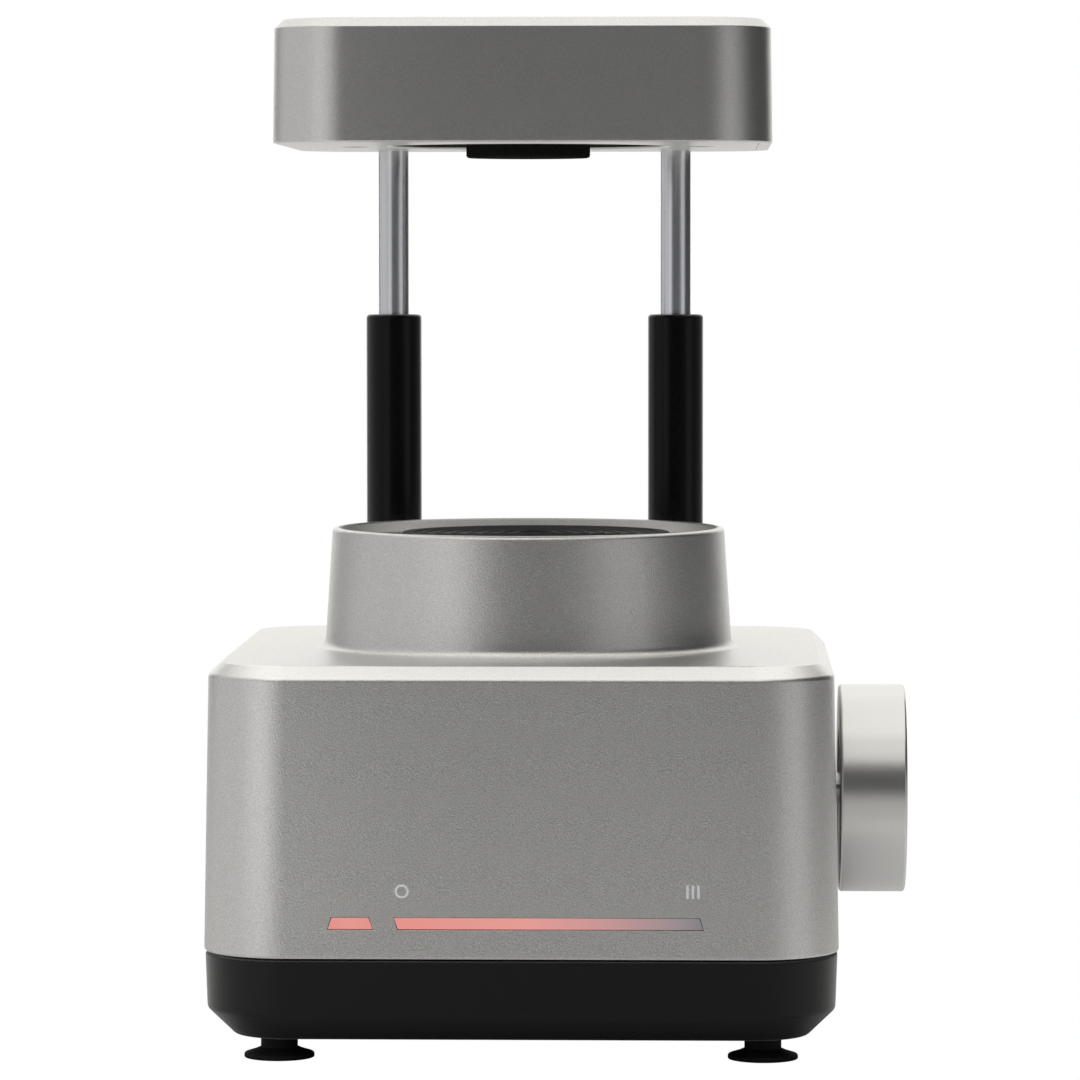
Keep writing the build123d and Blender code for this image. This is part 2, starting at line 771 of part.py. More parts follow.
# Seat: rubber mat on a plate whose hub holds the bearing's outer ring on the crank pin
seat_diameter = seat_opening - 2 * orbit_radius - 2 * seat_running_gap
seat_plate_top = seat_top - seat_mat_thickness
seat_plate_bottom = seat_plate_top - seat_plate_thickness
bearing_top = seat_plate_bottom - seat_hub_relief - 1.4
bearing_bottom = bearing_top - bearing_width
hub_diameter = bearing_diameter + 2 * seat_hub_wall

with BuildPart() as seat_mat:
    with BuildSketch(Plane((orbit_radius, 0, seat_plate_top))):
        Circle(seat_diameter / 2)
    extrude(amount=seat_mat_thickness)
    fillet(seat_mat.edges().group_by(Axis.Z)[-1], seat_mat_thickness / 3)
finish(seat_mat, "seat_mat")

with BuildPart() as seat_plate:
    with BuildSketch(Plane((orbit_radius, 0, seat_plate_bottom))):
        Circle(seat_diameter / 2)
    extrude(amount=seat_plate_thickness)
    with BuildSketch(Plane((orbit_radius, 0, bearing_bottom))):
        Circle(hub_diameter / 2)
    extrude(amount=seat_plate_bottom - bearing_bottom)
    bore(Plane((orbit_radius, 0, bearing_bottom)), bearing_diameter + 2 * running_gap, bearing_width)
    bore(Plane((orbit_radius, 0, bearing_top)), bearing_ring_outer_diameter + 1, seat_hub_relief)
finish(seat_plate, "seat_plate")

with BuildPart() as bearing_outer_ring:
    ring(
        Plane((orbit_radius, 0, bearing_bottom)),
        bearing_diameter,
        bearing_ring_outer_diameter,
        bearing_width,
    )
finish(bearing_outer_ring, "bearing_outer_ring")

ball_track = (bearing_ring_outer_diameter + bearing_ring_inner_diameter) / 4
ball_radius = (bearing_ring_outer_diameter - bearing_ring_inner_diameter) / 4 - running_gap
with BuildPart() as bearing_balls:
    with Locations((orbit_radius, 0, bearing_bottom + bearing_width / 2)):
        with PolarLocations(ball_track, bearing_ball_count):
            Sphere(ball_radius)
finish(bearing_balls, "bearing_balls")

with BuildPart() as splash_ring:
    ring(
        Plane.XY.offset(collar_web_bottom - splash_ring_thickness),
        collar_bore - 2 * fit_gap,
        hub_diameter + 2 * orbit_radius + 2 * splash_ring_gap,
        splash_ring_thickness,
    )
finish(splash_ring, "splash_ring")

# Crank: a hub on the motor shaft with the offset pin, its counterweight and their screws
crank_top = bearing_bottom
crank_shoulder = crank_top - crank_shoulder_height
crank_bottom = crank_top - crank_height
flange_top = crank_bottom + crank_flange_thickness
shaft_top = crank_shoulder - 1.0

with BuildPart() as crank_hub:
    with BuildSketch(Plane.XY.offset(crank_bottom)):
        Circle(crank_flange_diameter / 2)
    extrude(amount=crank_flange_thickness)
    with BuildSketch(Plane.XY.offset(flange_top)):
        Circle(crank_hub_diameter / 2)
    extrude(amount=crank_shoulder - flange_top)
    with BuildSketch(Plane((orbit_radius, 0, crank_shoulder))):
        Circle(bearing_ring_inner_diameter / 2)
    extrude(amount=crank_shoulder_height)
    with BuildSketch(Plane((orbit_radius, 0, crank_top))):
        Circle(bearing_bore / 2 - running_gap)
    extrude(amount=bearing_width)
    bore(Plane.XY.offset(crank_bottom), motor_shaft_diameter + 2 * running_gap, shaft_top - crank_bottom)
    # Thread for the set screw, on the pin's side
    set_screw_z = (flange_top + crank_shoulder) / 2
    with BuildSketch(side_plane(0)):
        with Locations((0, set_screw_z)):
            Circle(screw_diameter / 2 + fit_gap)
    extrude(amount=crank_hub_diameter, mode=Mode.SUBTRACT)
    # Threads for the counterweight screws
    for y in (-counterweight_screw_radius, counterweight_screw_radius):
        bore(
            Plane((-small_screw_diameter, y, crank_bottom)),
            small_screw_diameter + 2 * fit_gap,
            crank_flange_thickness,
        )
finish(crank_hub, "crank_hub")

with BuildPart() as crank_set_screw:
    with BuildSketch(side_plane(motor_shaft_diameter / 2 + running_gap)):
        with Locations((0, set_screw_z)):
            Circle(screw_diameter / 2)
            RegularPolygon(0.3 * screw_diameter, 6, mode=Mode.SUBTRACT)
    extrude(amount=(crank_hub_diameter - motor_shaft_diameter) / 2 - 1)
finish(crank_set_screw, "crank_set_screw")

with BuildPart() as bearing_inner_ring:
    ring(Plane((orbit_radius, 0, crank_top)), bearing_ring_inner_diameter, bearing_bore, bearing_width)
finish(bearing_inner_ring, "bearing_inner_ring")

with BuildPart() as counterweight:
    # Half a disc, on the side away from the pin
    with BuildSketch(Plane.XY.offset(flange_top)):
        Circle(counterweight_radius)
        with Locations((counterweight_radius, 0)):
            Rectangle(2 * counterweight_radius, 2 * counterweight_radius, mode=Mode.SUBTRACT)
        Circle(crank_hub_diameter / 2 + fit_gap, mode=Mode.SUBTRACT)
    extrude(amount=counterweight_thickness)
    for y in (-counterweight_screw_radius, counterweight_screw_radius):
        bore(
            Plane((-small_screw_diameter, y, flange_top)),
            small_screw_diameter + 2 * fit_gap,
            counterweight_thickness,
        )
finish(counterweight, "counterweight")

with BuildPart() as counterweight_screws:
    for y in (-counterweight_screw_radius, counterweight_screw_radius):
        screw(
            Plane((-small_screw_diameter, y, crank_bottom)),
            small_screw_diameter,
            crank_flange_thickness + counterweight_thickness - loose_gap,
        )
finish(counterweight_screws, "counterweight_screws")

# Motor on its bracket, which hangs from the top wall on four rubber grommets
bracket_top = ceiling - grommet_height
bracket_bottom = bracket_top - bracket_thickness
motor_bottom = bracket_bottom - motor_length
motor_inside = motor_diameter - 2 * motor_wall
magnet_middle = motor_bottom + motor_length / 2
rotor_diameter = motor_inside - 2 * magnet_thickness - 2 * air_gap

with BuildPart() as motor_bracket:
    with BuildSketch(Plane.XY.offset(bracket_bottom)):
        RectangleRounded(bracket_length, bracket_width, bracket_corner)
        Circle(motor_boss_diameter / 2 + loose_gap, mode=Mode.SUBTRACT)
    extrude(amount=bracket_thickness)
    for x, y in pairs(bracket_screw_x, bracket_screw_y):
        bore(Plane((x, y, bracket_bottom)), screw_diameter + 2 * loose_gap, bracket_thickness)
    for x in (-motor_screw_spacing / 2, motor_screw_spacing / 2):
        bore(Plane((x, 0, bracket_bottom)), screw_diameter + 2 * loose_gap, bracket_thickness)
finish(motor_bracket, "motor_bracket")

with BuildPart() as motor_grommets:
    for x, y in pairs(bracket_screw_x, bracket_screw_y):
        ring(Plane((x, y, bracket_top)), grommet_diameter, screw_diameter + 2 * loose_gap, grommet_height)
finish(motor_grommets, "motor_grommets")

with BuildPart() as bracket_screws:
    for x, y in pairs(bracket_screw_x, bracket_screw_y):
        screw(
            Plane((x, y, bracket_bottom)),
            screw_diameter,
            bracket_thickness + grommet_height + screw_reach - loose_gap,
        )
finish(bracket_screws, "bracket_screws")

with BuildPart() as motor_can:
    with BuildSketch(Plane.XY.offset(motor_bottom)):
        Circle(motor_diameter / 2)
    extrude(amount=motor_length)
    with BuildSketch(Plane.XY.offset(bracket_bottom)):
        Circle(motor_boss_diameter / 2)
    extrude(amount=motor_boss_height)
    bore(Plane.XY.offset(motor_bottom), motor_inside, motor_length - motor_front_wall)
    bore(
        Plane.XY.offset(bracket_bottom - motor_front_wall),
        motor_shaft_diameter + 2 * running_gap,
        motor_front_wall + motor_boss_height,
    )
    for x in (-motor_screw_spacing / 2, motor_screw_spacing / 2):
        bore(
            Plane((x, 0, bracket_bottom - motor_front_wall)), screw_diameter + 2 * fit_gap, motor_front_wall
        )
finish(motor_can, "motor_can")

with BuildPart() as motor_end_cap:
    with BuildSketch(Plane.XY.offset(motor_bottom)):
        Circle(motor_inside / 2 - fit_gap)
    extrude(amount=motor_cap_thickness)
    with BuildSketch(Plane.XY.offset(motor_bottom)):
        Circle(motor_boss_diameter / 2)
    extrude(amount=-motor_boss_height)
    bore(Plane.XY.offset(motor_bottom), motor_shaft_diameter + 2 * running_gap, motor_cap_thickness)
finish(motor_end_cap, "motor_end_cap")

with BuildPart() as motor_magnets:
    # Two arcs with a gap between them at the front and the back
    with BuildSketch(Plane.XY.offset(magnet_middle - magnet_length / 2)):
        Circle(motor_inside / 2 - fit_gap)
        Circle(rotor_diameter / 2 + air_gap, mode=Mode.SUBTRACT)
        Rectangle(motor_inside / 3, motor_inside, mode=Mode.SUBTRACT)
    extrude(amount=magnet_length)
finish(motor_magnets, "motor_magnets")

with BuildPart() as motor_rotor:
    ring(
        Plane.XY.offset(magnet_middle - magnet_length / 2),
        rotor_diameter,
        motor_shaft_diameter + 2 * fit_gap,
        magnet_length,
    )
finish(motor_rotor, "motor_rotor")

with BuildPart() as motor_shaft:
    with BuildSketch(Plane.XY.offset(motor_bottom + fit_gap)):
        Circle(motor_shaft_diameter / 2)
    extrude(amount=shaft_top - fit_gap - motor_bottom - fit_gap)
finish(motor_shaft, "motor_shaft")

with BuildPart() as motor_screws:
    for x in (-motor_screw_spacing / 2, motor_screw_spacing / 2):
        down = Plane((x, 0, bracket_top), z_dir=(0, 0, -1))
        screw(down, screw_diameter, bracket_thickness + motor_front_wall - loose_gap)
finish(motor_screws, "motor_screws")

# Light windows, each with a flange behind the wall
for window_name, window_outline in window_outlines:
    with BuildPart() as light_window:
        with BuildSketch(front_plane(-light_carrier_front)):
            window_outline()
        extrude(amount=2 * housing_wall)
        add(housing_form.part, mode=Mode.INTERSECT)
        with BuildSketch(front_plane(-light_carrier_front + window_flange_thickness)):
            window_outline()
            offset(amount=window_flange)
        extrude(amount=window_flange_thickness)
    finish(light_window, window_name)

with BuildPart() as light_carrier:
    with BuildSketch(front_plane(-light_carrier_back)):
        with Locations((0, light_carrier_z)):
            Rectangle(light_carrier_length, light_carrier_height)
    extrude(amount=light_carrier_depth)
    with BuildSketch(front_plane(-light_carrier_back)):
        with Locations((0, light_carrier_z)):
            Rectangle(light_carrier_length + 2 * light_ear_length, light_carrier_height)
            with Locations((-light_boss_x, 0), (light_boss_x, 0)):
                Circle(small_screw_diameter / 2 + loose_gap, mode=Mode.SUBTRACT)
    extrude(amount=light_ear_thickness)
    for window_name, window_outline in window_outlines:
        with BuildSketch(front_plane(-light_carrier_back)):
            window_outline()
        extrude(amount=light_carrier_depth, mode=Mode.SUBTRACT)
        with BuildSketch(front_plane(-light_carrier_front + window_flange_thickness + fit_gap)):
            window_outline()
            offset(amount=window_flange + fit_gap)
        extrude(amount=window_flange_thickness + fit_gap, mode=Mode.SUBTRACT)
finish(light_carrier, "light_carrier")

light_board_face = light_carrier_back
with BuildPart() as light_board:
    with BuildSketch(front_plane(-light_board_face + board_thickness)):
        with Locations((0, light_carrier_z)):
            Rectangle(light_board_length, light_board_height)
    extrude(amount=board_thickness)
finish(light_board, "light_board")

with BuildPart() as light_chips:
    # One chip behind the power window and a row behind the level window
    chip_z = window_bottom + window_height / 2
    chip_pitch = level_window_width / light_chip_count
    level_middle = level_window_left + level_window_width / 2 - window_slant / 2
    with BuildSketch(front_plane(-light_board_face)):
        with Locations((power_window_left + power_window_width / 2, chip_z)):
            Rectangle(light_chip_length, light_chip_height)
        with Locations((level_middle, chip_z)):
            with GridLocations(chip_pitch, 1, light_chip_count, 1):
                Rectangle(light_chip_length, light_chip_height)
    extrude(amount=light_chip_depth)
finish(light_chips, "light_chips")

# Control board on the tray, with its parts
board_bottom = tray_inside + board_post_height
board_top = board_bottom + board_thickness
with BuildPart() as control_board:
    with BuildSketch(Plane((0, control_board_y, board_bottom))):
        Rectangle(control_board_length, control_board_width)
        with GridLocations(board_post_spacing_x, board_post_spacing_y, 2, 2):
            Circle(small_screw_diameter / 2 + loose_gap, mode=Mode.SUBTRACT)
    extrude(amount=board_thickness)
finish(control_board, "control_board")

with BuildPart() as board_components:
    # Two capacitors at the back, the driver chip in the middle and three connectors along the front
    with BuildSketch(Plane((0, control_board_y + control_board_width / 3, board_top))):
        with GridLocations(1.5 * capacitor_diameter, 1, 2, 1):
            Circle(capacitor_diameter / 2)
    extrude(amount=capacitor_height)
    with BuildSketch(Plane((0, control_board_y, board_top))):
        Rectangle(control_board_length / 6, control_board_length / 6)
    extrude(amount=board_thickness)
    with BuildSketch(Plane((0, control_board_y - control_board_width / 3, board_top))):
        with GridLocations(control_board_length / 5, 1, 3, 1):
            Rectangle(control_board_length / 8, control_board_width / 9)
    extrude(amount=capacitor_height / 2)
finish(board_components, "board_components")

# Speed control: body and bush behind its plate, nut in front, shaft out to the knob
with BuildPart() as control_body:
    with BuildSketch(side_plane(control_plate_x - control_length)):
        with Locations((0, knob_z)):
            Circle(control_diameter / 2)
    extrude(amount=control_length)
    with BuildSketch(side_plane(control_plate_x)):
        with Locations((0, knob_z)):
            Circle(control_bush_diameter / 2)
    extrude(amount=control_bush_length)
    with BuildSketch(side_plane(control_plate_x - control_length / 2)):
        with Locations((0, knob_z)):
            Circle(control_shaft_diameter / 2 + running_gap)
    extrude(amount=control_length + control_bush_length, mode=Mode.SUBTRACT)
finish(control_body, "control_body")

with BuildPart() as control_plate:
    with BuildSketch(side_plane(control_plate_x)):
        with Locations((0, knob_z)):
            Rectangle(control_plate_width, control_plate_height)
            Circle(control_bush_diameter / 2 + fit_gap, mode=Mode.SUBTRACT)
            with GridLocations(1, control_screw_spacing, 1, 2):
                Circle(small_screw_diameter / 2 + loose_gap, mode=Mode.SUBTRACT)
    extrude(amount=control_plate_thickness)
finish(control_plate, "control_plate")

with BuildPart() as control_nut:
    with BuildSketch(side_plane(control_plate_x + control_plate_thickness)):
        with Locations((0, knob_z)):
            RegularPolygon(control_nut_across_flats / 2, 6, major_radius=False)
            Circle(control_bush_diameter / 2 + fit_gap, mode=Mode.SUBTRACT)
    extrude(amount=control_nut_thickness)
finish(control_nut, "control_nut")

with BuildPart() as small_screws:
    # Control board
    for x, y in board_post_places:
        down = Plane((x, y, board_top), z_dir=(0, 0, -1))
        screw(down, small_screw_diameter, board_thickness + board_post_height - loose_gap)
    # Light carrier
    for x in (-light_boss_x, light_boss_x):
        ear_face = Plane((x, -light_carrier_back, light_carrier_z), x_dir=(1, 0, 0), z_dir=(0, -1, 0))
        screw(ear_face, small_screw_diameter, light_ear_thickness + housing_wall / 2)
    # Control plate
    for z in control_screw_levels:
        plate_face = Plane((control_plate_x, 0, z), x_dir=(0, 1, 0), z_dir=(1, 0, 0))
        screw(plate_face, small_screw_diameter, control_plate_thickness + 2 * small_screw_diameter)
finish(small_screws, "small_screws")

# Knob: turned cap, plastic insert inside it and the control's shaft
shaft_end_x = knob_face_x - knob_face - 1.0
with BuildPart() as control_shaft:
    with BuildSketch(side_plane(control_plate_x - control_length / 2 + fit_gap)):
        with Locations((0, knob_z)):
            Circle(control_shaft_diameter / 2)
    extrude(amount=shaft_end_x - control_plate_x + control_length / 2 - fit_gap)
finish(control_shaft, "control_shaft")

with BuildPart() as knob:
    with BuildSketch(side_plane(knob_back_x)):
        with Locations((0, knob_z)):
            Circle(knob_diameter / 2)
    extrude(amount=knob_length)
    fillet(knob.edges().filter_by(GeomType.CIRCLE), knob_round)
    with BuildSketch(side_plane(knob_back_x)):
        with Locations((0, knob_z)):
            Circle(knob_diameter / 2 - knob_wall)
    extrude(amount=knob_length - knob_face, mode=Mode.SUBTRACT)
finish(knob, "knob")

with BuildPart() as knob_insert:
    insert_x = knob_face_x - knob_face - knob_insert_thickness
    with BuildSketch(side_plane(insert_x)):
        with Locations((0, knob_z)):
            Circle(knob_diameter / 2 - knob_wall - fit_gap)
    extrude(amount=knob_insert_thickness)
    with BuildSketch(side_plane(knob_back_x + knob_round)):
        with Locations((0, knob_z)):
            Circle(knob_hub_diameter / 2)
    extrude(amount=insert_x - knob_back_x - knob_round)
    with BuildSketch(side_plane(knob_back_x)):
        with Locations((0, knob_z)):
            Circle(control_shaft_diameter / 2 + running_gap)
    extrude(amount=shaft_end_x - knob_back_x + fit_gap, mode=Mode.SUBTRACT)
finish(knob_insert, "knob_insert")

# Power inlet in the back wall, with its contact pin and the nut inside
with BuildPart() as power_inlet:
    with BuildSketch(back_plane(inlet_face_y)):
        with Locations((0, inlet_z)):
            Circle(inlet_flange_diameter / 2)
    extrude(amount=inlet_flange_thickness)
    with BuildSketch(back_plane(inlet_face_y + inlet_flange_thickness - inlet_depth)):
        with Locations((0, inlet_z)):
            Circle(inlet_diameter / 2)
    extrude(amount=inlet_depth)
    with BuildSketch(back_plane(inlet_face_y + inlet_flange_thickness - inlet_bore_depth)):
        with Locations((0, inlet_z)):
            Circle(inlet_bore_diameter / 2)
    extrude(amount=inlet_bore_depth, mode=Mode.SUBTRACT)
    with BuildSketch(back_plane(inlet_face_y + inlet_flange_thickness - inlet_bore_depth)):
        with Locations((0, inlet_z)):
            Circle(inlet_pin_diameter / 2)
    extrude(amount=inlet_bore_depth - inlet_pin_setback)
finish(power_inlet, "power_inlet")

inlet_nut_y = housing_inside / 2 - (inlet_z + inlet_nut_across_flats / 2 - housing_bottom) * housing_slope
with BuildPart() as inlet_nut:
    with BuildSketch(back_plane(inlet_nut_y - fit_gap - inlet_nut_thickness)):
        with Locations((0, inlet_z)):
            RegularPolygon(inlet_nut_across_flats / 2, 6, major_radius=False)
            Circle(inlet_diameter / 2 + fit_gap, mode=Mode.SUBTRACT)
    extrude(amount=inlet_nut_thickness)
finish(inlet_nut, "inlet_nut")
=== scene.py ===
import json
from math import atan, atan2, cos, hypot, pi, radians, sin, tan

import bmesh
import bpy
from mathutils import Matrix, Vector

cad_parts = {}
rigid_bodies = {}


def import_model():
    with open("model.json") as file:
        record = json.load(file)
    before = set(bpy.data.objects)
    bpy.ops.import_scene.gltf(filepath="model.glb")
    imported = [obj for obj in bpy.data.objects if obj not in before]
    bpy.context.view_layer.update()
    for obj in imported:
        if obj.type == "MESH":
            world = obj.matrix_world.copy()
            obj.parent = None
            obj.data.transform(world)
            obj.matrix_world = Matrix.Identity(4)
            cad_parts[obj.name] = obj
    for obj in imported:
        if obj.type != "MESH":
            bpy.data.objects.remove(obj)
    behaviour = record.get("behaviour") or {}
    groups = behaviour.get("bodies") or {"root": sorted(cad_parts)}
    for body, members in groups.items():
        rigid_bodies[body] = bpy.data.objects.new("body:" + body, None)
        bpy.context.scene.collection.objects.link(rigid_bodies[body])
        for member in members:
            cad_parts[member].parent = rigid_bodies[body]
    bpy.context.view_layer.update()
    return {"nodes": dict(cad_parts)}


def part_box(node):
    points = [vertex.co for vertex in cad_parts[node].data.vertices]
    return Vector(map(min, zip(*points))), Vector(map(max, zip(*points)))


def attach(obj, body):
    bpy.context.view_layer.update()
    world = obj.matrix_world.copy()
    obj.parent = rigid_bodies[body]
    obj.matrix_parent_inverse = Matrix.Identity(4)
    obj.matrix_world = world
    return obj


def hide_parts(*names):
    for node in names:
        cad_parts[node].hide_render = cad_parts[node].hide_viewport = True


# Bench-top shaker for small paint bottles: looks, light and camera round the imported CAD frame.
# Sizes are in millimetres round the seat axis, +Z up, front towards -Y, speed knob on the +X side.
# toFrame() turns them into the frame's metres.

for leftover in list(bpy.data.objects):
    bpy.data.objects.remove(leftover)
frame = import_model()
nodes = frame["nodes"]
housingLow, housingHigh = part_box("upper_housing")
seatX = (housingLow.x + housingHigh.x) / 2
print("frame loaded, seat axis at X =", round(seatX, 5))


# Meshes

def toFrame(x, y, z):
    return Vector((seatX + x / 1000, y / 1000, z / 1000))


def link(name, mesh):
    piece = bpy.data.objects.new(name, mesh)
    bpy.context.collection.objects.link(piece)
    return piece


def fromBmesh(name, bm):
    bmesh.ops.remove_doubles(bm, verts=bm.verts, dist=1e-7)
    bmesh.ops.recalc_face_normals(bm, faces=bm.faces)
    mesh = bpy.data.meshes.new(name)
    bm.to_mesh(mesh)
    bm.free()
    return link(name, mesh)


def roundedPath(corners, steps=4, closed=True):
    # Each corner is (distance, level, radius); the path comes back as (distance, level) points
    path = []
    for i, (u, z, radius) in enumerate(corners):
        if radius == 0 or (not closed and i in (0, len(corners) - 1)):
            path.append((u, z))
            continue
        here = Vector((u, z))
        before = (Vector(corners[i - 1][:2]) - here).normalized()
        after = (Vector(corners[(i + 1) % len(corners)][:2]) - here).normalized()
        halfAngle = before.angle(after) / 2
        centre = here + (before + after).normalized() * (radius / sin(halfAngle))
        first = here + before * (radius / tan(halfAngle)) - centre
        last = here + after * (radius / tan(halfAngle)) - centre
        start = atan2(first.y, first.x)
        sweep = (atan2(last.y, last.x) - start + pi) % (2 * pi) - pi
        for step in range(steps + 1):
            angle = start + sweep * step / steps
            path.append((centre.x + radius * cos(angle), centre.y + radius * sin(angle)))
    return path


def squareColumns(core, reach, arcSteps=18, sideSteps=22):
    # Columns round a rounded square: a foot point, an outward direction and the angle at that reach
    quarter = []
    widest = atan(core / (core + reach))
    for step in range(1, sideSteps):
        y = (core + reach) * tan(-widest + 2 * widest * step / sideSteps)
        quarter.append(((core, y), (1, 0)))
    for step in range(arcSteps + 1):
        turn = pi / 2 * step / arcSteps
        quarter.append(((core, core), (cos(turn), sin(turn))))
    columns = []
    for side in range(4):
        c, s = round(cos(side * pi / 2)), round(sin(side * pi / 2))
        for (px, py), (dx, dy) in quarter:
            foot = (px * c - py * s, px * s + py * c)
            out = (dx * c - dy * s, dx * s + dy * c)
            angle = atan2(foot[1] + reach * out[1], foot[0] + reach * out[0])
            columns.append((foot, out, angle))
    return columns


def ringShell(name, columns, rings, closed=True):
    # Rings are ("square", reach, level) or ("round", radius, level); an open shell gets flat ends
    bm = bmesh.new()
    loops = []
    for kind, u, z in rings:
        loop = []
        for (px, py), (dx, dy), angle in columns:
            if kind == "square":
                loop.append(bm.verts.new(toFrame(px + u * dx, py + u * dy, z)))
            else:
                loop.append(bm.verts.new(toFrame(u * cos(angle), u * sin(angle), z)))
        loops.append(loop)
    count = len(columns)
    pairs = list(zip(loops, loops[1:]))
    if closed:
        pairs.append((loops[-1], loops[0]))
    else:
        bm.faces.new(loops[0])
        bm.faces.new(loops[-1])
    for low, high in pairs:
        for i in range(count):
            bm.faces.new((low[i], low[(i + 1) % count], high[(i + 1) % count], high[i]))
    return fromBmesh(name, bm)


def lathe(name, profile, place=(0, 0, 0), axis="Z", steps=96, closed=True):
    # The profile is (radius, height); points on the axis become poles
    bm = bmesh.new()
    x0, y0, z0 = place
    loops = []
    for radius, height in profile:
        loop = []
        for i in range(steps if radius > 1e-6 else 1):
            a, b = radius * cos(2 * pi * i / steps), radius * sin(2 * pi * i / steps)
            if axis == "Z":
                loop.append(bm.verts.new(toFrame(x0 + a, y0 + b, z0 + height)))
            elif axis == "X":
                loop.append(bm.verts.new(toFrame(x0 + height, y0 + a, z0 + b)))
            else:
                loop.append(bm.verts.new(toFrame(x0 + a, y0 + height, z0 + b)))
        loops.append(loop)
    pairs = list(zip(loops, loops[1:]))
    if closed:
        pairs.append((loops[-1], loops[0]))
    for low, high in pairs:
        for i in range(steps):
            j = (i + 1) % steps
            if len(low) == 1 and len(high) == 1:
                break
            if len(low) == 1:
                bm.faces.new((low[0], high[j], high[i]))
            elif len(high) == 1:
                bm.faces.new((low[i], low[j], high[0]))
            else:
                bm.faces.new((low[i], low[j], high[j], high[i]))
    return fromBmesh(name, bm)


def prism(name, outline, y0, y1):
    # An outline in X and Z, drawn out along Y
    bm = bmesh.new()
    near = [bm.verts.new(toFrame(x, y0, z)) for x, z in outline]
    far = [bm.verts.new(toFrame(x, y1, z)) for x, z in outline]
    bm.faces.new(near)
    bm.faces.new(far)
    for i in range(len(outline)):
        j = (i + 1) % len(outline)
        bm.faces.new((near[i], near[j], far[j], far[i]))
    return fromBmesh(name, bm)


def blindPost(name, place, axis, outer, bore, mouth, root, boreEnd):
    # A post that stands on a wall at root, with a screw hole in from its mouth
    profile = [(bore, mouth), (outer, mouth), (outer, root), (0, root), (0, boreEnd), (bore, boreEnd)]
    return lathe(name, profile, place, axis, 40)


def sleeve(name, place, outer, bore, low, high):
    return lathe(name, [(bore, low), (outer, low), (outer, high), (bore, high)], place, steps=48)


def drill(name, place, axis, steps, cylinders):
    # A cutter of cylinders on one axis, each (radius, start, end)
    profile = [(0, cylinders[0][1])]
    for radius, start, end in cylinders:
        profile += [(radius, start), (radius, end)]
    profile.append((0, cylinders[-1][2]))
    return lathe(name, profile, place, axis, steps, False)


def plain(piece):
    # The evaluated piece as a plain mesh, with its modifiers gone
    depsgraph = bpy.context.evaluated_depsgraph_get()
    mesh = bpy.data.meshes.new_from_object(piece.evaluated_get(depsgraph))
    piece.modifiers.clear()
    piece.data = mesh
    return piece


def cut(piece, cutters):
    for cutter in cutters:
        modifier = piece.modifiers.new("cut", "BOOLEAN")
        modifier.operation = "DIFFERENCE"
        modifier.solver = "EXACT"
        modifier.object = cutter
    plain(piece)
    for cutter in cutters:
        bpy.data.objects.remove(cutter)


def join(piece, others):
    # Adds other closed solids to the piece's mesh
    bm = bmesh.new()
    bm.from_mesh(piece.data)
    for other in others:
        bm.from_mesh(other.data)
        bpy.data.objects.remove(other)
    bm.to_mesh(piece.data)
    bm.free()


def smooth(piece, angle=32):
    piece.data.polygons.foreach_set("use_smooth", [True] * len(piece.data.polygons))
    piece.data.set_sharp_from_angle(angle=radians(angle))
    weighted = piece.modifiers.new("weighted", "WEIGHTED_NORMAL")
    weighted.mode = "FACE_AREA"
    weighted.weight = 80
    weighted.keep_sharp = True


def dress(piece, material, slot, body, *replaced):
    piece.data.materials.clear()
    piece.data.materials.append(material)
    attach(piece, body)
    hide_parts(*replaced)


# Geometry Nodes

def geometryTree(name, inputs):
    tree = bpy.data.node_groups.new(name, "GeometryNodeTree")
    tree.interface.new_socket("Geometry", in_out="OUTPUT", socket_type="NodeSocketGeometry")
    for label, kind, value in inputs:
        socket = tree.interface.new_socket(label, in_out="INPUT", socket_type="NodeSocket" + kind)
        if value is not None:
            socket.default_value = value
    return tree, tree.nodes.new("NodeGroupInput"), tree.nodes.new("NodeGroupOutput")


def fill(tree, node, values):
    # Links or sets a node's inputs, by name or number
    for label, value in values.items():
        if isinstance(value, bpy.types.NodeSocket):
            tree.links.new(value, node.inputs[label])
        else:
            node.inputs[label].default_value = value
    return node


def addNode(tree, kind, values):
    return fill(tree, tree.nodes.new(kind), values)


def closeTree(tree, source, given, output):
    # Every tree ends in Realize Instances and Set Material
    realize = addNode(tree, "GeometryNodeRealizeInstances", {"Geometry": source})
    finished = addNode(tree, "GeometryNodeSetMaterial", {
        "Geometry": realize.outputs["Geometry"], "Material": given.outputs["Finish"],
    })
    fill(tree, output, {"Geometry": finished.outputs["Geometry"]})


def mathNode(tree, operation, *values):
    node = tree.nodes.new("ShaderNodeMath")
    node.operation = operation
    for socket, value in zip(node.inputs, values):
        if isinstance(value, (int, float)):
            socket.default_value = value
        else:
            tree.links.new(value, socket)
    return node.outputs[0]


def spacedLine(tree, count, spacing, along):
    # A line of points centred on the origin
    reach = mathNode(tree, "MULTIPLY", spacing, mathNode(tree, "SUBTRACT", count, 1))
    start = addNode(tree, "ShaderNodeCombineXYZ", {along: mathNode(tree, "MULTIPLY", reach, -0.5)})
    step = addNode(tree, "ShaderNodeCombineXYZ", {along: spacing})
    line = addNode(tree, "GeometryNodeMeshLine", {
        "Count": count, "Start Location": start.outputs[0], "Offset": step.outputs[0],
    })
    return line.outputs["Mesh"]


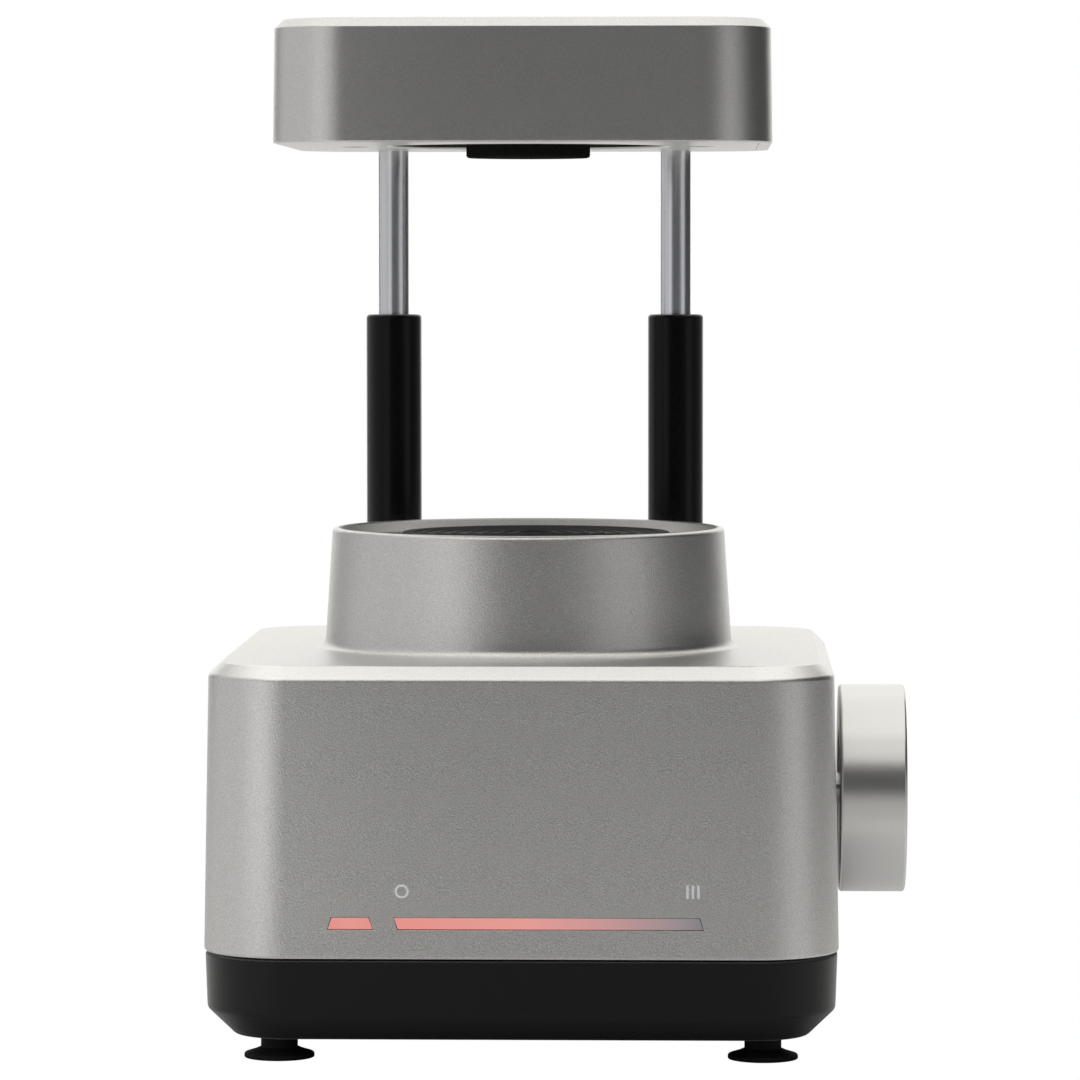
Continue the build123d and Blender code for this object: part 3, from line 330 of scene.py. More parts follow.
def repeatTree():
    # Sets a shape at the crossings of a grid of columns and rows
    tree, given, output = geometryTree("repeatInRows", [
        ("Shape", "Object", None),
        ("Columns", "Int", 2),
        ("Rows", "Int", 1),
        ("Column Spacing", "Float", 0.05),
        ("Row Spacing", "Float", 0.05),
        ("Finish", "Material", None),
    ])
    info = addNode(tree, "GeometryNodeObjectInfo", {"Object": given.outputs["Shape"]})
    across = spacedLine(tree, given.outputs["Columns"], given.outputs["Column Spacing"], "X")
    along = spacedLine(tree, given.outputs["Rows"], given.outputs["Row Spacing"], "Y")
    grid = addNode(tree, "GeometryNodeInstanceOnPoints", {"Points": across, "Instance": along})
    points = addNode(tree, "GeometryNodeRealizeInstances", {"Geometry": grid.outputs["Instances"]})
    place = addNode(tree, "GeometryNodeInstanceOnPoints", {
        "Points": points.outputs["Geometry"], "Instance": info.outputs["Geometry"],
    })
    closeTree(tree, place.outputs["Instances"], given, output)
    return tree


def ringsTree():
    # Raised rings round a centre, each one pitch outside the last
    tree, given, output = geometryTree("gripRings", [
        ("Rings", "Int", 6),
        ("First Radius", "Float", 0.004),
        ("Pitch", "Float", 0.003),
        ("Rib Radius", "Float", 0.0004),
        ("Centre", "Vector", (0, 0, 0)),
        ("Finish", "Material", None),
    ])
    line = addNode(tree, "GeometryNodeMeshLine", {"Count": given.outputs["Rings"], "Offset": (0, 0, 0)})
    index = tree.nodes.new("GeometryNodeInputIndex")
    grown = mathNode(tree, "MULTIPLY", index.outputs[0], given.outputs["Pitch"])
    radius = mathNode(tree, "ADD", grown, given.outputs["First Radius"])
    scale = addNode(tree, "ShaderNodeCombineXYZ", {"X": radius, "Y": radius, "Z": 1})
    circle = addNode(tree, "GeometryNodeCurvePrimitiveCircle", {"Resolution": 96, "Radius": 1})
    place = addNode(tree, "GeometryNodeInstanceOnPoints", {
        "Points": line.outputs["Mesh"], "Instance": circle.outputs["Curve"], "Scale": scale.outputs[0],
    })
    realize = addNode(tree, "GeometryNodeRealizeInstances", {"Geometry": place.outputs["Instances"]})
    section = addNode(tree, "GeometryNodeCurvePrimitiveCircle", {
        "Resolution": 10, "Radius": given.outputs["Rib Radius"],
    })
    sweep = addNode(tree, "GeometryNodeCurveToMesh", {
        "Curve": realize.outputs["Geometry"], "Profile Curve": section.outputs["Curve"],
    })
    move = addNode(tree, "GeometryNodeTransform", {
        "Geometry": sweep.outputs["Mesh"], "Translation": given.outputs["Centre"],
    })
    closeTree(tree, move.outputs["Geometry"], given, output)
    return tree


def grow(name, tree, values):
    # Runs a tree on an empty mesh and keeps the plain result
    piece = link(name, bpy.data.meshes.new(name))
    modifier = piece.modifiers.new(name, "NODES")
    modifier.node_group = tree
    for item in tree.interface.items_tree:
        if item.item_type == "SOCKET" and item.in_out == "INPUT" and item.name in values:
            modifier[item.identifier] = values[item.name]
    return plain(piece)


def repeat(name, shape, material, columns, columnSpacing, rows=1, rowSpacing=0.0):
    piece = grow(name, repeatInRows, {
        "Shape": shape,
        "Columns": columns,
        "Rows": rows,
        "Column Spacing": columnSpacing / 1000,
        "Row Spacing": rowSpacing / 1000,
        "Finish": material,
    })
    bpy.data.objects.remove(shape)
    return piece


repeatInRows = repeatTree()
gripRings = ringsTree()
print("geometry trees built")


# Shader groups

def shaderGroup(name, inputs, outputs):
    group = bpy.data.node_groups.new(name, "ShaderNodeTree")
    for label, kind, value in inputs:
        socket = group.interface.new_socket(label, in_out="INPUT", socket_type="NodeSocket" + kind)
        socket.default_value = value
    for label, kind in outputs:
        group.interface.new_socket(label, in_out="OUTPUT", socket_type="NodeSocket" + kind)
    return group, group.nodes.new("NodeGroupInput"), group.nodes.new("NodeGroupOutput")


def aroundOne(group, noise, spread):
    # Noise round 0.5 becomes a factor round 1
    away = mathNode(group, "SUBTRACT", noise, 0.5)
    swing = mathNode(group, "MULTIPLY", away, mathNode(group, "MULTIPLY", spread, 4))
    return mathNode(group, "ADD", swing, 1)


def grainGroup():
    # Fine even grain, such as bead blasting or mould texture; Value is centred on 1
    group, given, output = shaderGroup(
        "fineGrain",
        [("Vector", "Vector", (0, 0, 0)), ("Scale", "Float", 4000), ("Spread", "Float", 0.05)],
        [("Value", "Float"), ("Height", "Float")],
    )
    # Two sizes of noise, the larger at 0.4 of the strength
    where = given.outputs["Vector"]
    coarser = mathNode(group, "MULTIPLY", given.outputs["Scale"], 0.6)
    small = addNode(group, "ShaderNodeTexNoise", {
        "Vector": where, "Scale": given.outputs["Scale"], "Detail": 2,
    })
    large = addNode(group, "ShaderNodeTexNoise", {"Vector": where, "Scale": coarser, "Detail": 1})
    both = mathNode(group, "ADD", small.outputs[0], mathNode(group, "MULTIPLY", large.outputs[0], 0.4))
    height = mathNode(group, "MULTIPLY", both, 1 / 1.4)
    fill(group, output, {"Value": aroundOne(group, height, given.outputs["Spread"]), "Height": height})
    return group


def mottleGroup():
    # Slow change of tone over a piece, from handling and uneven finish; Value is centred on 1
    group, given, output = shaderGroup(
        "slowMottle",
        [("Vector", "Vector", (0, 0, 0)), ("Scale", "Float", 30), ("Spread", "Float", 0.03)],
        [("Value", "Float")],
    )
    clouds = addNode(group, "ShaderNodeTexNoise", {
        "Vector": given.outputs["Vector"], "Scale": given.outputs["Scale"], "Detail": 4, "Roughness": 0.6,
    })
    fill(group, output, {"Value": aroundOne(group, clouds.outputs[0], given.outputs["Spread"])})
    return group


def edgeWearAndSheenGroup():
    # Mask of the outer edges, where the colour is lightened: partly light wear, partly a painted highlight
    # that the edges catch
    group, given, output = shaderGroup(
        "edgeWearAndSheen",
        [("Start", "Float", 0.505), ("Strength", "Float", 6)],
        [("Mask", "Float")],
    )
    geometry = group.nodes.new("ShaderNodeNewGeometry")
    above = mathNode(group, "SUBTRACT", geometry.outputs["Pointiness"], given.outputs["Start"])
    mask = addNode(group, "ShaderNodeClamp", {
        "Value": mathNode(group, "MULTIPLY", above, given.outputs["Strength"]),
    })
    fill(group, output, {"Mask": mask.outputs[0]})
    return group


fineGrain = grainGroup()
slowMottle = mottleGroup()
edgeWearAndSheen = edgeWearAndSheenGroup()


def useGroup(tree, group, values):
    node = tree.nodes.new("ShaderNodeGroup")
    node.node_tree = group
    return fill(tree, node, values)


def newMaterial(name):
    material = bpy.data.materials.new(name)
    material.use_nodes = True
    return material, material.node_tree, material.node_tree.nodes["Principled BSDF"]


def roughAndBump(tree, shader, look, roughTone, height):
    bump = addNode(tree, "ShaderNodeBump", {
        "Strength": look["bump"], "Distance": look.get("depth", 0.00002), "Height": height,
    })
    fill(tree, shader, {
        "Roughness": mathNode(tree, "MULTIPLY", look["roughness"], roughTone), "Normal": bump.outputs[0],
    })


def finishOf(name, look):
    # One material from a small table of values; only what varies is linked
    material, tree, shader = newMaterial(name)
    fill(tree, shader, {
        "Metallic": look.get("metallic", 0), "Specular IOR Level": look.get("specular", 0.5),
        "IOR": look.get("ior", 1.5), "Sheen Weight": look.get("sheen", 0), "Sheen Roughness": 0.4,
    })
    where = tree.nodes.new("ShaderNodeTexCoord").outputs["Object"]
    if "stretch" in look:
        where = addNode(tree, "ShaderNodeMapping", {"Vector": where, "Scale": look["stretch"]}).outputs[0]
    grain = useGroup(tree, fineGrain, {
        "Vector": where, "Scale": look["grainScale"], "Spread": look["grainSpread"],
    })
    mottle = useGroup(tree, slowMottle, {
        "Vector": where, "Scale": look.get("mottleScale", 25), "Spread": look.get("mottle", 0.02),
    })
    toned = tree.nodes.new("ShaderNodeVectorMath")
    toned.operation = "SCALE"
    toned.inputs[0].default_value = look["colour"]
    fill(tree, toned, {"Scale": mathNode(tree, "MULTIPLY", grain.outputs["Value"], mottle.outputs["Value"])})
    colour = toned.outputs[0]
    # Outer edges get a lighter colour: a painted highlight along them, plus light wear
    if "edge" in look:
        mask = useGroup(tree, edgeWearAndSheen, {"Strength": look["edgeStrength"]}).outputs["Mask"]
        mix = tree.nodes.new("ShaderNodeMix")
        mix.data_type = "RGBA"
        fill(tree, mix, {"Factor": mask, "A": colour, "B": (*look["edge"], 1)})
        colour = mix.outputs["Result"]
    fill(tree, shader, {"Base Color": colour})
    roughAndBump(tree, shader, look, mottle.outputs["Value"], grain.outputs["Height"])
    return material


# Finishes, one table for each

# The edge colour lightens the outer edges: a painted highlight there, plus light wear
castSilver = {"colour": (0.80, 0.795, 0.78), "metallic": 1, "roughness": 0.33, "grainScale": 5000,
              "grainSpread": 0.26, "mottle": 0.012, "bump": 0.7, "depth": 0.00011,
              "edge": (0.88, 0.875, 0.86), "edgeStrength": 2}
# A brighter, smoother copy of the casting: painted highlight on the top chamfer
chamferPaintedHighlight = {**castSilver, "colour": (0.93, 0.925, 0.905), "grainSpread": 0.12, "bump": 0.3}
# A darker copy of the casting: painted shade in the dish round the seat
dishPaintedShade = {**castSilver, "colour": (0.4, 0.398, 0.39), "edge": (0.4, 0.398, 0.39), "roughness": 0.4}
headSilver = {**castSilver, "grainSpread": 0.16, "bump": 0.45}
plateSilver = {**castSilver, "grainSpread": 0.05, "roughness": 0.34, "bump": 0.2}
knobSilver = {**castSilver, "grainSpread": 0.02, "roughness": 0.29, "bump": 0.08,
              "stretch": (1, 0.25, 0.25)}
trayBlack = {"colour": (0.005, 0.005, 0.0052), "roughness": 0.4, "grainScale": 2600, "grainSpread": 0.12,
             "mottle": 0.03, "bump": 0.16, "depth": 0.00002, "specular": 0.27, "sheen": 0.6}
softRubber = {"colour": (0.012, 0.012, 0.012), "roughness": 0.7, "grainScale": 1800, "grainSpread": 0.2,
              "mottle": 0.05, "bump": 0.4, "depth": 0.00004, "specular": 0.35}
tubeBlack = {"colour": (0.002, 0.002, 0.0022), "roughness": 0.24, "grainScale": 3200, "grainSpread": 0.1,
             "mottle": 0.03, "bump": 0.12, "depth": 0.00002, "specular": 0.18, "sheen": 0.55}
moulded = {"colour": (0.03, 0.03, 0.032), "roughness": 0.45, "grainScale": 2200, "grainSpread": 0.1,
           "mottle": 0.03, "bump": 0.2}
groundSteel = {"colour": (0.84, 0.85, 0.88), "metallic": 1, "roughness": 0.26, "grainScale": 900,
               "grainSpread": 0.02, "mottle": 0.01, "bump": 0.06, "stretch": (1, 1, 0.08)}
plainSteel = {"colour": (0.55, 0.555, 0.57), "metallic": 1, "roughness": 0.3, "grainScale": 2500,
              "grainSpread": 0.05, "mottle": 0.03, "bump": 0.15}
platedSteel = {**plainSteel, "colour": (0.6, 0.6, 0.58), "roughness": 0.38, "mottle": 0.08,
               "mottleScale": 120}
blackScrew = {**plainSteel, "colour": (0.05, 0.05, 0.055), "roughness": 0.4}
turnedAluminium = {**plainSteel, "colour": (0.78, 0.78, 0.77), "roughness": 0.28, "stretch": (1, 1, 6)}
copperWinding = {**plainSteel, "colour": (0.75, 0.33, 0.18), "roughness": 0.3, "grainScale": 1500,
                 "bump": 0.5, "depth": 0.00006, "stretch": (1, 1, 0.1)}
whitePlastic = {**moulded, "colour": (0.75, 0.75, 0.73)}
boardGreen = {**moulded, "colour": (0.02, 0.12, 0.06), "roughness": 0.35, "grainScale": 700,
              "grainSpread": 0.25, "mottle": 0.1, "mottleScale": 90}
chipYellow = {**moulded, "colour": (0.75, 0.68, 0.35), "roughness": 0.25}

slotLooks = {
    "housing_silver": castSilver,
    "head_silver": headSilver,
    "plate_silver": plateSilver,
    "knob_silver": knobSilver,
    "tray_black": trayBlack,
    "foot_rubber": softRubber,
    "seat_rubber": {**softRubber, "colour": (0.02, 0.02, 0.021)},
    "pad_rubber": {**softRubber, "colour": (0.018, 0.017, 0.016), "ior": 1.02},
    "splash_rubber": {**softRubber, "roughness": 0.6},
    "tube_black": tubeBlack,
    "bush_black": moulded,
    "rod_steel": groundSteel,
    "shaft_steel": {**groundSteel, "roughness": 0.22},
    "screw_steel": plainSteel,
    "spring_steel": {**plainSteel, "roughness": 0.25},
    "bracket_steel": platedSteel,
    "machined_aluminium": turnedAluminium,
    "rotor_copper": copperWinding,
    "inner_plastic": moulded,
    "inlet_plastic": {**moulded, "colour": (0.02, 0.02, 0.02)},
    "carrier_white": whitePlastic,
    "board_green": boardGreen,
    "light_chip": chipYellow,
}
finishes = {slot: finishOf(slot, look) for slot, look in slotLooks.items()}
print("finishes:", len(finishes))


def glowFinish(name, look):
    # A clouded light window; its colour fades along X from the warm end to the cool one
    material, tree, shader = newMaterial(name)
    where = tree.nodes.new("ShaderNodeTexCoord").outputs["Object"]
    axes = addNode(tree, "ShaderNodeSeparateXYZ", {"Vector": where})
    along = addNode(tree, "ShaderNodeMapRange", {
        "Value": axes.outputs["X"],
        "From Min": seatX + look["from"] / 1000, "From Max": seatX + look["to"] / 1000,
    })
    ramp = addNode(tree, "ShaderNodeValToRGB", {"Fac": along.outputs[0]})
    ramp.color_ramp.elements[0].color = (*look["stops"][0][1], 1)
    ramp.color_ramp.elements[1].color = (*look["stops"][-1][1], 1)
    for position, shade in look["stops"][1:-1]:
        ramp.color_ramp.elements.new(position).color = (*shade, 1)
    # Only the face glows, so that a dark line of painted shade shows round it in the slot
    onFace = mathNode(tree, "LESS_THAN", axes.outputs["Y"], look["faceY"] / 1000)
    fill(tree, shader, {
        "Base Color": (*look["body"], 1), "Emission Color": ramp.outputs["Color"],
        "Emission Strength": mathNode(tree, "MULTIPLY", onFace, look["glow"]),
    })
    grain = useGroup(tree, fineGrain, {
        "Vector": where, "Scale": look["grainScale"], "Spread": look["grainSpread"],
    })
    roughAndBump(tree, shader, look, grain.outputs["Value"], grain.outputs["Height"])
    return material


# Each window's left and right end at its foot, and how far the two ends lean towards its top
windowSpans = {"power_window": (-35.6, -27.3, 0.7, -0.7), "level_window": (-22.5, 34.5, -0.7, -0.7)}
lightWindow = {
    "body": (0.10, 0.085, 0.085), "glow": 0.92, "roughness": 0.35, "grainScale": 1500,
    "grainSpread": 0.15, "bump": 0.1, "depth": 0.00002, "faceY": -59.3,
    "from": windowSpans["level_window"][0], "to": windowSpans["level_window"][1],
    "stops": [(0.0, (0.80, 0.265, 0.24)), (0.42, (0.79, 0.315, 0.28)), (0.68, (0.56, 0.285, 0.28)),
              (0.92, (0.29, 0.24, 0.26)), (1.0, (0.19, 0.185, 0.205))],
}
powerWindow = {**lightWindow, "from": windowSpans["power_window"][0], "to": windowSpans["power_window"][1],
               "stops": [(0.0, (0.78, 0.26, 0.235)), (0.5, (0.80, 0.29, 0.255)), (1.0, (0.76, 0.26, 0.235))]}
finishes["level_window"] = glowFinish("level_window", lightWindow)
finishes["power_window"] = glowFinish("power_window", powerWindow)

# CAD nodes that stay get their slot's finish
for node in nodes.values():
    for materialSlot in node.material_slots:
        materialSlot.material = finishes[materialSlot.material.name.split(".")[0]]
# The two screws under the head are blackened
nodes["plate_screws"].material_slots[0].material = finishOf("black_screw", blackScrew)

# Upper housing

# What the housing, tray and head share: columns and screws
columnPlace = {"spacing": 57.4, "y": 39.5}
screws = {"trayX": 51.0, "trayY": 25.0, "plateX": 33.9, "bore": 1.55}
housing = {"half": 60.15, "corner": 16.5, "bottom": 20.4, "top": 75.1, "draft": 1.04, "edge": 2.5,
           "wall": 2.0, "topWall": 4.0, "edgeRound": 1.3, "topRound": 0.6,
           "footBevelIn": 0.16, "footBevelUp": 0.38,
           "collarRadius": 40.0, "collarTop": 98.4, "collarDraft": 3.7, "collarFoot": 1.8, "collarLip": 0.9,
           "collarInside": 34.0, "web": 92.9, "opening": 28.2,
           "dishTop": 36.9, "dishFoot": 34.2, "dishDrop": 2.2, "dishRound": 1.5,
           "dishShadeReach": 37.3, "dishShadeFrom": 93.0, "edgeMargin": 0.3, "chamferSlopes": (0.35, 0.95),
           "seamInside": 3.0, "seamOutside": 44.5, "shaftZ": 47, "inletZ": 33,
           "plateBossZ": (33.0, 61.0), "lightBossX": 43.5, "lightBossZ": 27.9}
# Each hole's cylinders are (radius, start, end) along its axis
housingHoles = {"tube": [(5.75, 70, 76)], "shaft": [(3.15, 55, 62)],
                "inlet": [(4.05, 55, 58.82), (5.65, 58.82, 62)]}
housingBosses = {
    "tray": {"outer": 4.5, "bore": screws["bore"], "mouth": 22.4, "root": 45.0, "boreEnd": 31.4},
    "plate": {"outer": 3.5, "bore": 1.3, "mouth": 50.0, "root": 58.2, "boreEnd": 56.7},
    "light": {"outer": 2.6, "bore": 1.3, "mouth": -55.4, "root": -58.6, "boreEnd": -57.9},
}


def draftIn(levelFrom, level, angle):
    return (level - levelFrom) * tan(radians(angle))


def makeHousing(p):
    columns = squareColumns(p["half"] - p["corner"], p["corner"])
    ceiling = p["top"] - p["topWall"]
    lean = draftIn(p["bottom"], p["top"], p["draft"])
    edgeLean = draftIn(p["bottom"], p["top"] - p["edge"], p["draft"])
    insideLean = draftIn(p["bottom"], ceiling, p["draft"])
    inside = p["corner"] - p["wall"]
    outer = roundedPath([
        (inside, p["bottom"], 0.1),
        (p["corner"] - p["footBevelIn"], p["bottom"], 0.03),
        (p["corner"], p["bottom"] + p["footBevelUp"], 0.08),
        (p["corner"] - edgeLean, p["top"] - p["edge"], p["edgeRound"]),
        (p["corner"] - lean - p["edge"], p["top"], p["topRound"]),
        (p["seamInside"], p["top"], 0),
    ], closed=False)[1:]
    wallTop = p["collarRadius"] - draftIn(p["top"], p["collarTop"], p["collarDraft"])
    collar = roundedPath([
        (p["seamOutside"], p["top"], 0),
        (p["collarRadius"], p["top"], p["collarFoot"]),
        (wallTop, p["collarTop"], p["collarLip"]),
        (p["dishTop"], p["collarTop"], p["dishRound"]),
        (p["dishFoot"], p["collarTop"] - p["dishDrop"], p["dishRound"]),
        (p["opening"], p["collarTop"] - p["dishDrop"], 0.3),
        (p["opening"], p["web"], 0.2),
        (p["collarInside"], p["web"], 0.3),
        (p["collarInside"], ceiling, 0.3),
        (p["seamOutside"], ceiling, 0),
    ], steps=6, closed=False)
    inner = roundedPath([
        (p["seamInside"], ceiling, 0),
        (inside - insideLean, ceiling, 0.3),
        (inside, p["bottom"], 0),
    ], closed=False)
    rings = [("square", u, z) for u, z in outer]
    rings += [("round", u, z) for u, z in collar]
    rings += [("square", u, z) for u, z in inner]
    return ringShell("housing_casting", columns, rings)


windows = {"low": 26.05, "high": 28.1, "slotGap": 0.14, "slotFront": -62, "slotBack": -55,
           "glassBack": -57.4, "flangeReach": 1.2, "flangeFront": -57.95, "flangeBack": -56.75}


def windowOutline(name, margin):
    left, right, leanLeft, leanRight = windowSpans[name]
    low, high = windows["low"] - margin, windows["high"] + margin
    return [(left - margin, low), (right + margin, low),
            (right + margin + leanRight, high), (left - margin + leanLeft, high)]


columnAxes = [(side * columnPlace["spacing"] / 2, columnPlace["y"], 0) for side in (-1, 1)]
trayScrews = [(x, y, 0) for x in (-screws["trayX"], screws["trayX"])
              for y in (-screws["trayY"], screws["trayY"])]
shell = makeHousing(housing)
holes = [drill("tube_hole", place, "Z", 96, housingHoles["tube"]) for place in columnAxes]
holes.append(drill("shaft_hole", (0, 0, housing["shaftZ"]), "X", 48, housingHoles["shaft"]))
holes.append(drill("inlet_hole", (0, 0, housing["inletZ"]), "Y", 64, housingHoles["inlet"]))
holes += [prism(name + "_slot", windowOutline(name, windows["slotGap"]),
                windows["slotFront"], windows["slotBack"]) for name in windowSpans]
cut(shell, holes)

bosses = [blindPost("tray_boss", place, "Z", **housingBosses["tray"]) for place in trayScrews]
bosses += [blindPost("plate_boss", (0, 0, z), "X", **housingBosses["plate"]) for z in housing["plateBossZ"]]
bosses += [blindPost("light_boss", (x, 0, housing["lightBossZ"]), "Y", **housingBosses["light"])
           for x in (-housing["lightBossX"], housing["lightBossX"])]
join(shell, bosses)
smooth(shell)
dress(shell, finishes["housing_silver"], "housing_silver", "base", "upper_housing")
# The dish round the seat gets painted shade, a darker copy of the walls' finish, and the chamfer a painted
# highlight, a brighter and smoother copy
shell.data.materials.append(finishOf("dish_painted_shade", dishPaintedShade))
shell.data.materials.append(finishOf("chamfer_painted_highlight", chamferPaintedHighlight))
chamferFrom = housing["top"] - housing["edge"] - housing["edgeMargin"]
steepest, flattest = housing["chamferSlopes"]
# Faces in the dish take the painted shade, faces on the top chamfer the painted highlight
for face in shell.data.polygons:
    fromSeat = hypot(face.center.x - seatX, face.center.y) * 1000
    faceZ = face.center.z * 1000
    if fromSeat < housing["dishShadeReach"] and faceZ > housing["dishShadeFrom"]:
        face.material_index = 1
    elif chamferFrom < faceZ < housing["top"] and steepest < face.normal.z < flattest:
        face.material_index = 2
print("housing casting made")

# Light windows in the front wall, and the printed marks over them: an empty ring and three bars

marks = {"ringX": -21.75, "ringZ": 33.12, "ringRadius": 1.3, "stroke": 0.4,
         "barsX": 32.6, "barsZ": 33.13, "barWidth": 0.48, "barHeight": 2.5, "barPitch": 1.02,
         "proud": 0.02, "sunk": 0.1}
printLook = {"colour": (0.90, 0.93, 0.95), "roughness": 0.5, "grainScale": 3000, "grainSpread": 0.06,
             "bump": 0.1, "paintedGlowColour": (0.90, 0.96, 1.0), "glow": 0.11}
printFinish = finishOf("mark_print", printLook)
# The print gets a faint painted glow, brighter than the light on it makes it
fill(printFinish.node_tree, printFinish.node_tree.nodes["Principled BSDF"], {
    "Emission Color": (*printLook["paintedGlowColour"], 1), "Emission Strength": printLook["glow"],
})


def frontWall(z):
    return -(housing["half"] - draftIn(housing["bottom"], z, housing["draft"]))


def leanOnWall(piece, z):
    # Turns a flat piece so that it lies along the sloping front wall
    pivot = toFrame(0, frontWall(z), z)
    turn = Matrix.Rotation(radians(-housing["draft"]), 4, "X")
    piece.data.transform(Matrix.Translation(pivot) @ turn @ Matrix.Translation(-pivot))


windowZ = (windows["low"] + windows["high"]) / 2
for name in windowSpans:
    glass = prism(name + "_glass", windowOutline(name, 0), frontWall(windowZ), windows["glassBack"])
    leanOnWall(glass, windowZ)
    flangeOutline = windowOutline(name, windows["flangeReach"])
    join(glass, [prism(name + "_flange", flangeOutline, windows["flangeFront"], windows["flangeBack"])])
    dress(glass, finishes[name], name, "base", name)

wallY = frontWall(marks["ringZ"])
ringMark = lathe("ring_mark", [
    (marks["ringRadius"] - marks["stroke"], wallY - marks["proud"]),
    (marks["ringRadius"], wallY - marks["proud"]),
    (marks["ringRadius"], wallY + marks["sunk"]),
    (marks["ringRadius"] - marks["stroke"], wallY + marks["sunk"]),
], (marks["ringX"], 0, marks["ringZ"]), "Y", 64)
leanOnWall(ringMark, marks["ringZ"])
wallY = frontWall(marks["barsZ"])
barSide = marks["barWidth"] / 2
barLow, barHigh = marks["barsZ"] - marks["barHeight"] / 2, marks["barsZ"] + marks["barHeight"] / 2
barOutline = [(-barSide, barLow), (barSide, barLow), (barSide, barHigh), (-barSide, barHigh)]
oneBar = prism("one_bar", barOutline, wallY - marks["proud"], wallY + marks["sunk"])
oneBar.data.transform(Matrix.Translation((marks["barsX"] / 1000, 0, 0)))
barMarks = repeat("bar_marks", oneBar, printFinish, 3, marks["barPitch"])
leanOnWall(barMarks, marks["barsZ"])
for mark in (ringMark, barMarks):
    mark.data.materials.clear()
    mark.data.materials.append(printFinish)
    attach(mark, "base")
print("marks made")

# Base tray; its holes are (radius, start, end) and its posts (outer, bore, low, high)

tray = {"half": 59.9, "corner": 16.0, "bottom": 4.4, "top": 19.8, "draft": 2.0, "wall": 3.2, "floor": 2.4,
        "bevel": 5.1, "bevelRound": 1.5, "bevelTopRound": 1.4,
        "lipTop": 22.2, "lipReach": 14.0, "lipWall": 1.6, "hub": 4.0, "wallStep": 10.0,
        "footPlace": 45.8, "footHole": [(2.55, 3, 8)], "screwHole": [(2.85, 3, 6.95), (1.65, 6.95, 8)],
        "screwPost": (4.5, 1.65, 6.6, 22.4), "boardPost": (3.0, 1.3, 6.6, 12.0),
        "boardX": 32.0, "boardMiddle": -5.0, "boardReach": 23.0}


def makeTray(p):
    columns = squareColumns(p["half"] - p["corner"], p["corner"])
    foot = p["corner"] - draftIn(p["bottom"], p["top"], p["draft"])
    inside = p["bottom"] + p["floor"]
    hollow = foot - p["wall"]
    innerBevel = p["bevel"] - p["floor"] / 2
    path = roundedPath([
        (p["hub"], p["bottom"], 0),
        (foot - p["bevel"], p["bottom"], p["bevelRound"]),
        (foot + draftIn(0, p["bevel"], p["draft"]), p["bottom"] + p["bevel"], p["bevelTopRound"]),
        (p["corner"], p["top"], 0.25),
        (p["lipReach"], p["top"], 0.05),
        (p["lipReach"] - 0.04, p["lipTop"], 0.2),
        (p["lipReach"] - p["lipWall"], p["lipTop"], 0.2),
        (hollow + draftIn(0, p["wallStep"], p["draft"]), inside + p["wallStep"], 0),
        (hollow + draftIn(0, innerBevel, p["draft"]), inside + innerBevel, 0.5),
        (hollow - innerBevel, inside, 0.5),
        (p["hub"], inside, 0),
    ], steps=5, closed=False)
    return ringShell("tray_moulding", columns, [("square", u, z) for u, z in path], closed=False)


trayPiece = makeTray(tray)
holes, posts = [], []
for sx in (-1, 1):
    for sy in (-1, 1):
        footPlace = (sx * tray["footPlace"], sy * tray["footPlace"], 0)
        screwPlace = (sx * screws["trayX"], sy * screws["trayY"], 0)
        boardPlace = (sx * tray["boardX"], tray["boardMiddle"] + sy * tray["boardReach"], 0)
        holes.append(drill("foot_hole", footPlace, "Z", 40, tray["footHole"]))
        holes.append(drill("screw_hole", screwPlace, "Z", 40, tray["screwHole"]))
        posts.append(sleeve("screw_post", screwPlace, *tray["screwPost"]))
        posts.append(sleeve("board_post", boardPlace, *tray["boardPost"]))
cut(trayPiece, holes)
join(trayPiece, posts)
smooth(trayPiece)
dress(trayPiece, finishes["tray_black"], "tray_black", "base", "base_tray")
print("base tray made")

# Feet: suction cup, stem and the bulb inside the tray

foot = {"cup": 6.65, "cupHeight": 2.0, "hollow": 0.7, "lip": 1.0, "rim": 0.85, "slope": 4.6, "slopeTop": 1.5,
        "stem": 3.5, "neck": 2.5, "bulb": 3.8, "bulbSide": 7.53, "bulbTop": 9.0, "top": 4.4, "inside": 6.8}
footPath = roundedPath([
    (0, foot["hollow"], 0), (foot["cup"] - foot["lip"] - foot["hollow"], foot["hollow"], 0.2),
    (foot["cup"] - foot["lip"], 0, 0.15), (foot["cup"], 0, 0.2),
    (foot["cup"], foot["rim"], 0.4), (foot["slope"], foot["slopeTop"], 0.5),
    (foot["stem"], foot["cupHeight"], 0.3), (foot["stem"], foot["top"], 0.1),
    (foot["neck"], foot["top"], 0), (foot["neck"], foot["inside"], 0),
    (foot["bulb"], foot["inside"], 0.2), (foot["bulb"], foot["bulbSide"], 0.3),
    (foot["neck"], foot["bulbTop"], 0.4), (0, foot["bulbTop"], 0),
], closed=False)
oneFoot = lathe("one_foot", footPath, steps=72, closed=False)
footSpacing = 2 * tray["footPlace"]
feet = repeat("suction_feet", oneFoot, finishes["foot_rubber"], 2, footSpacing, 2, footSpacing)
smooth(feet)
dress(feet, finishes["foot_rubber"], "foot_rubber", "base",
      "foot_front_left", "foot_front_right", "foot_rear_left", "foot_rear_right")
print("feet made")

# Columns: tubes and bushes on the base, rods on the head

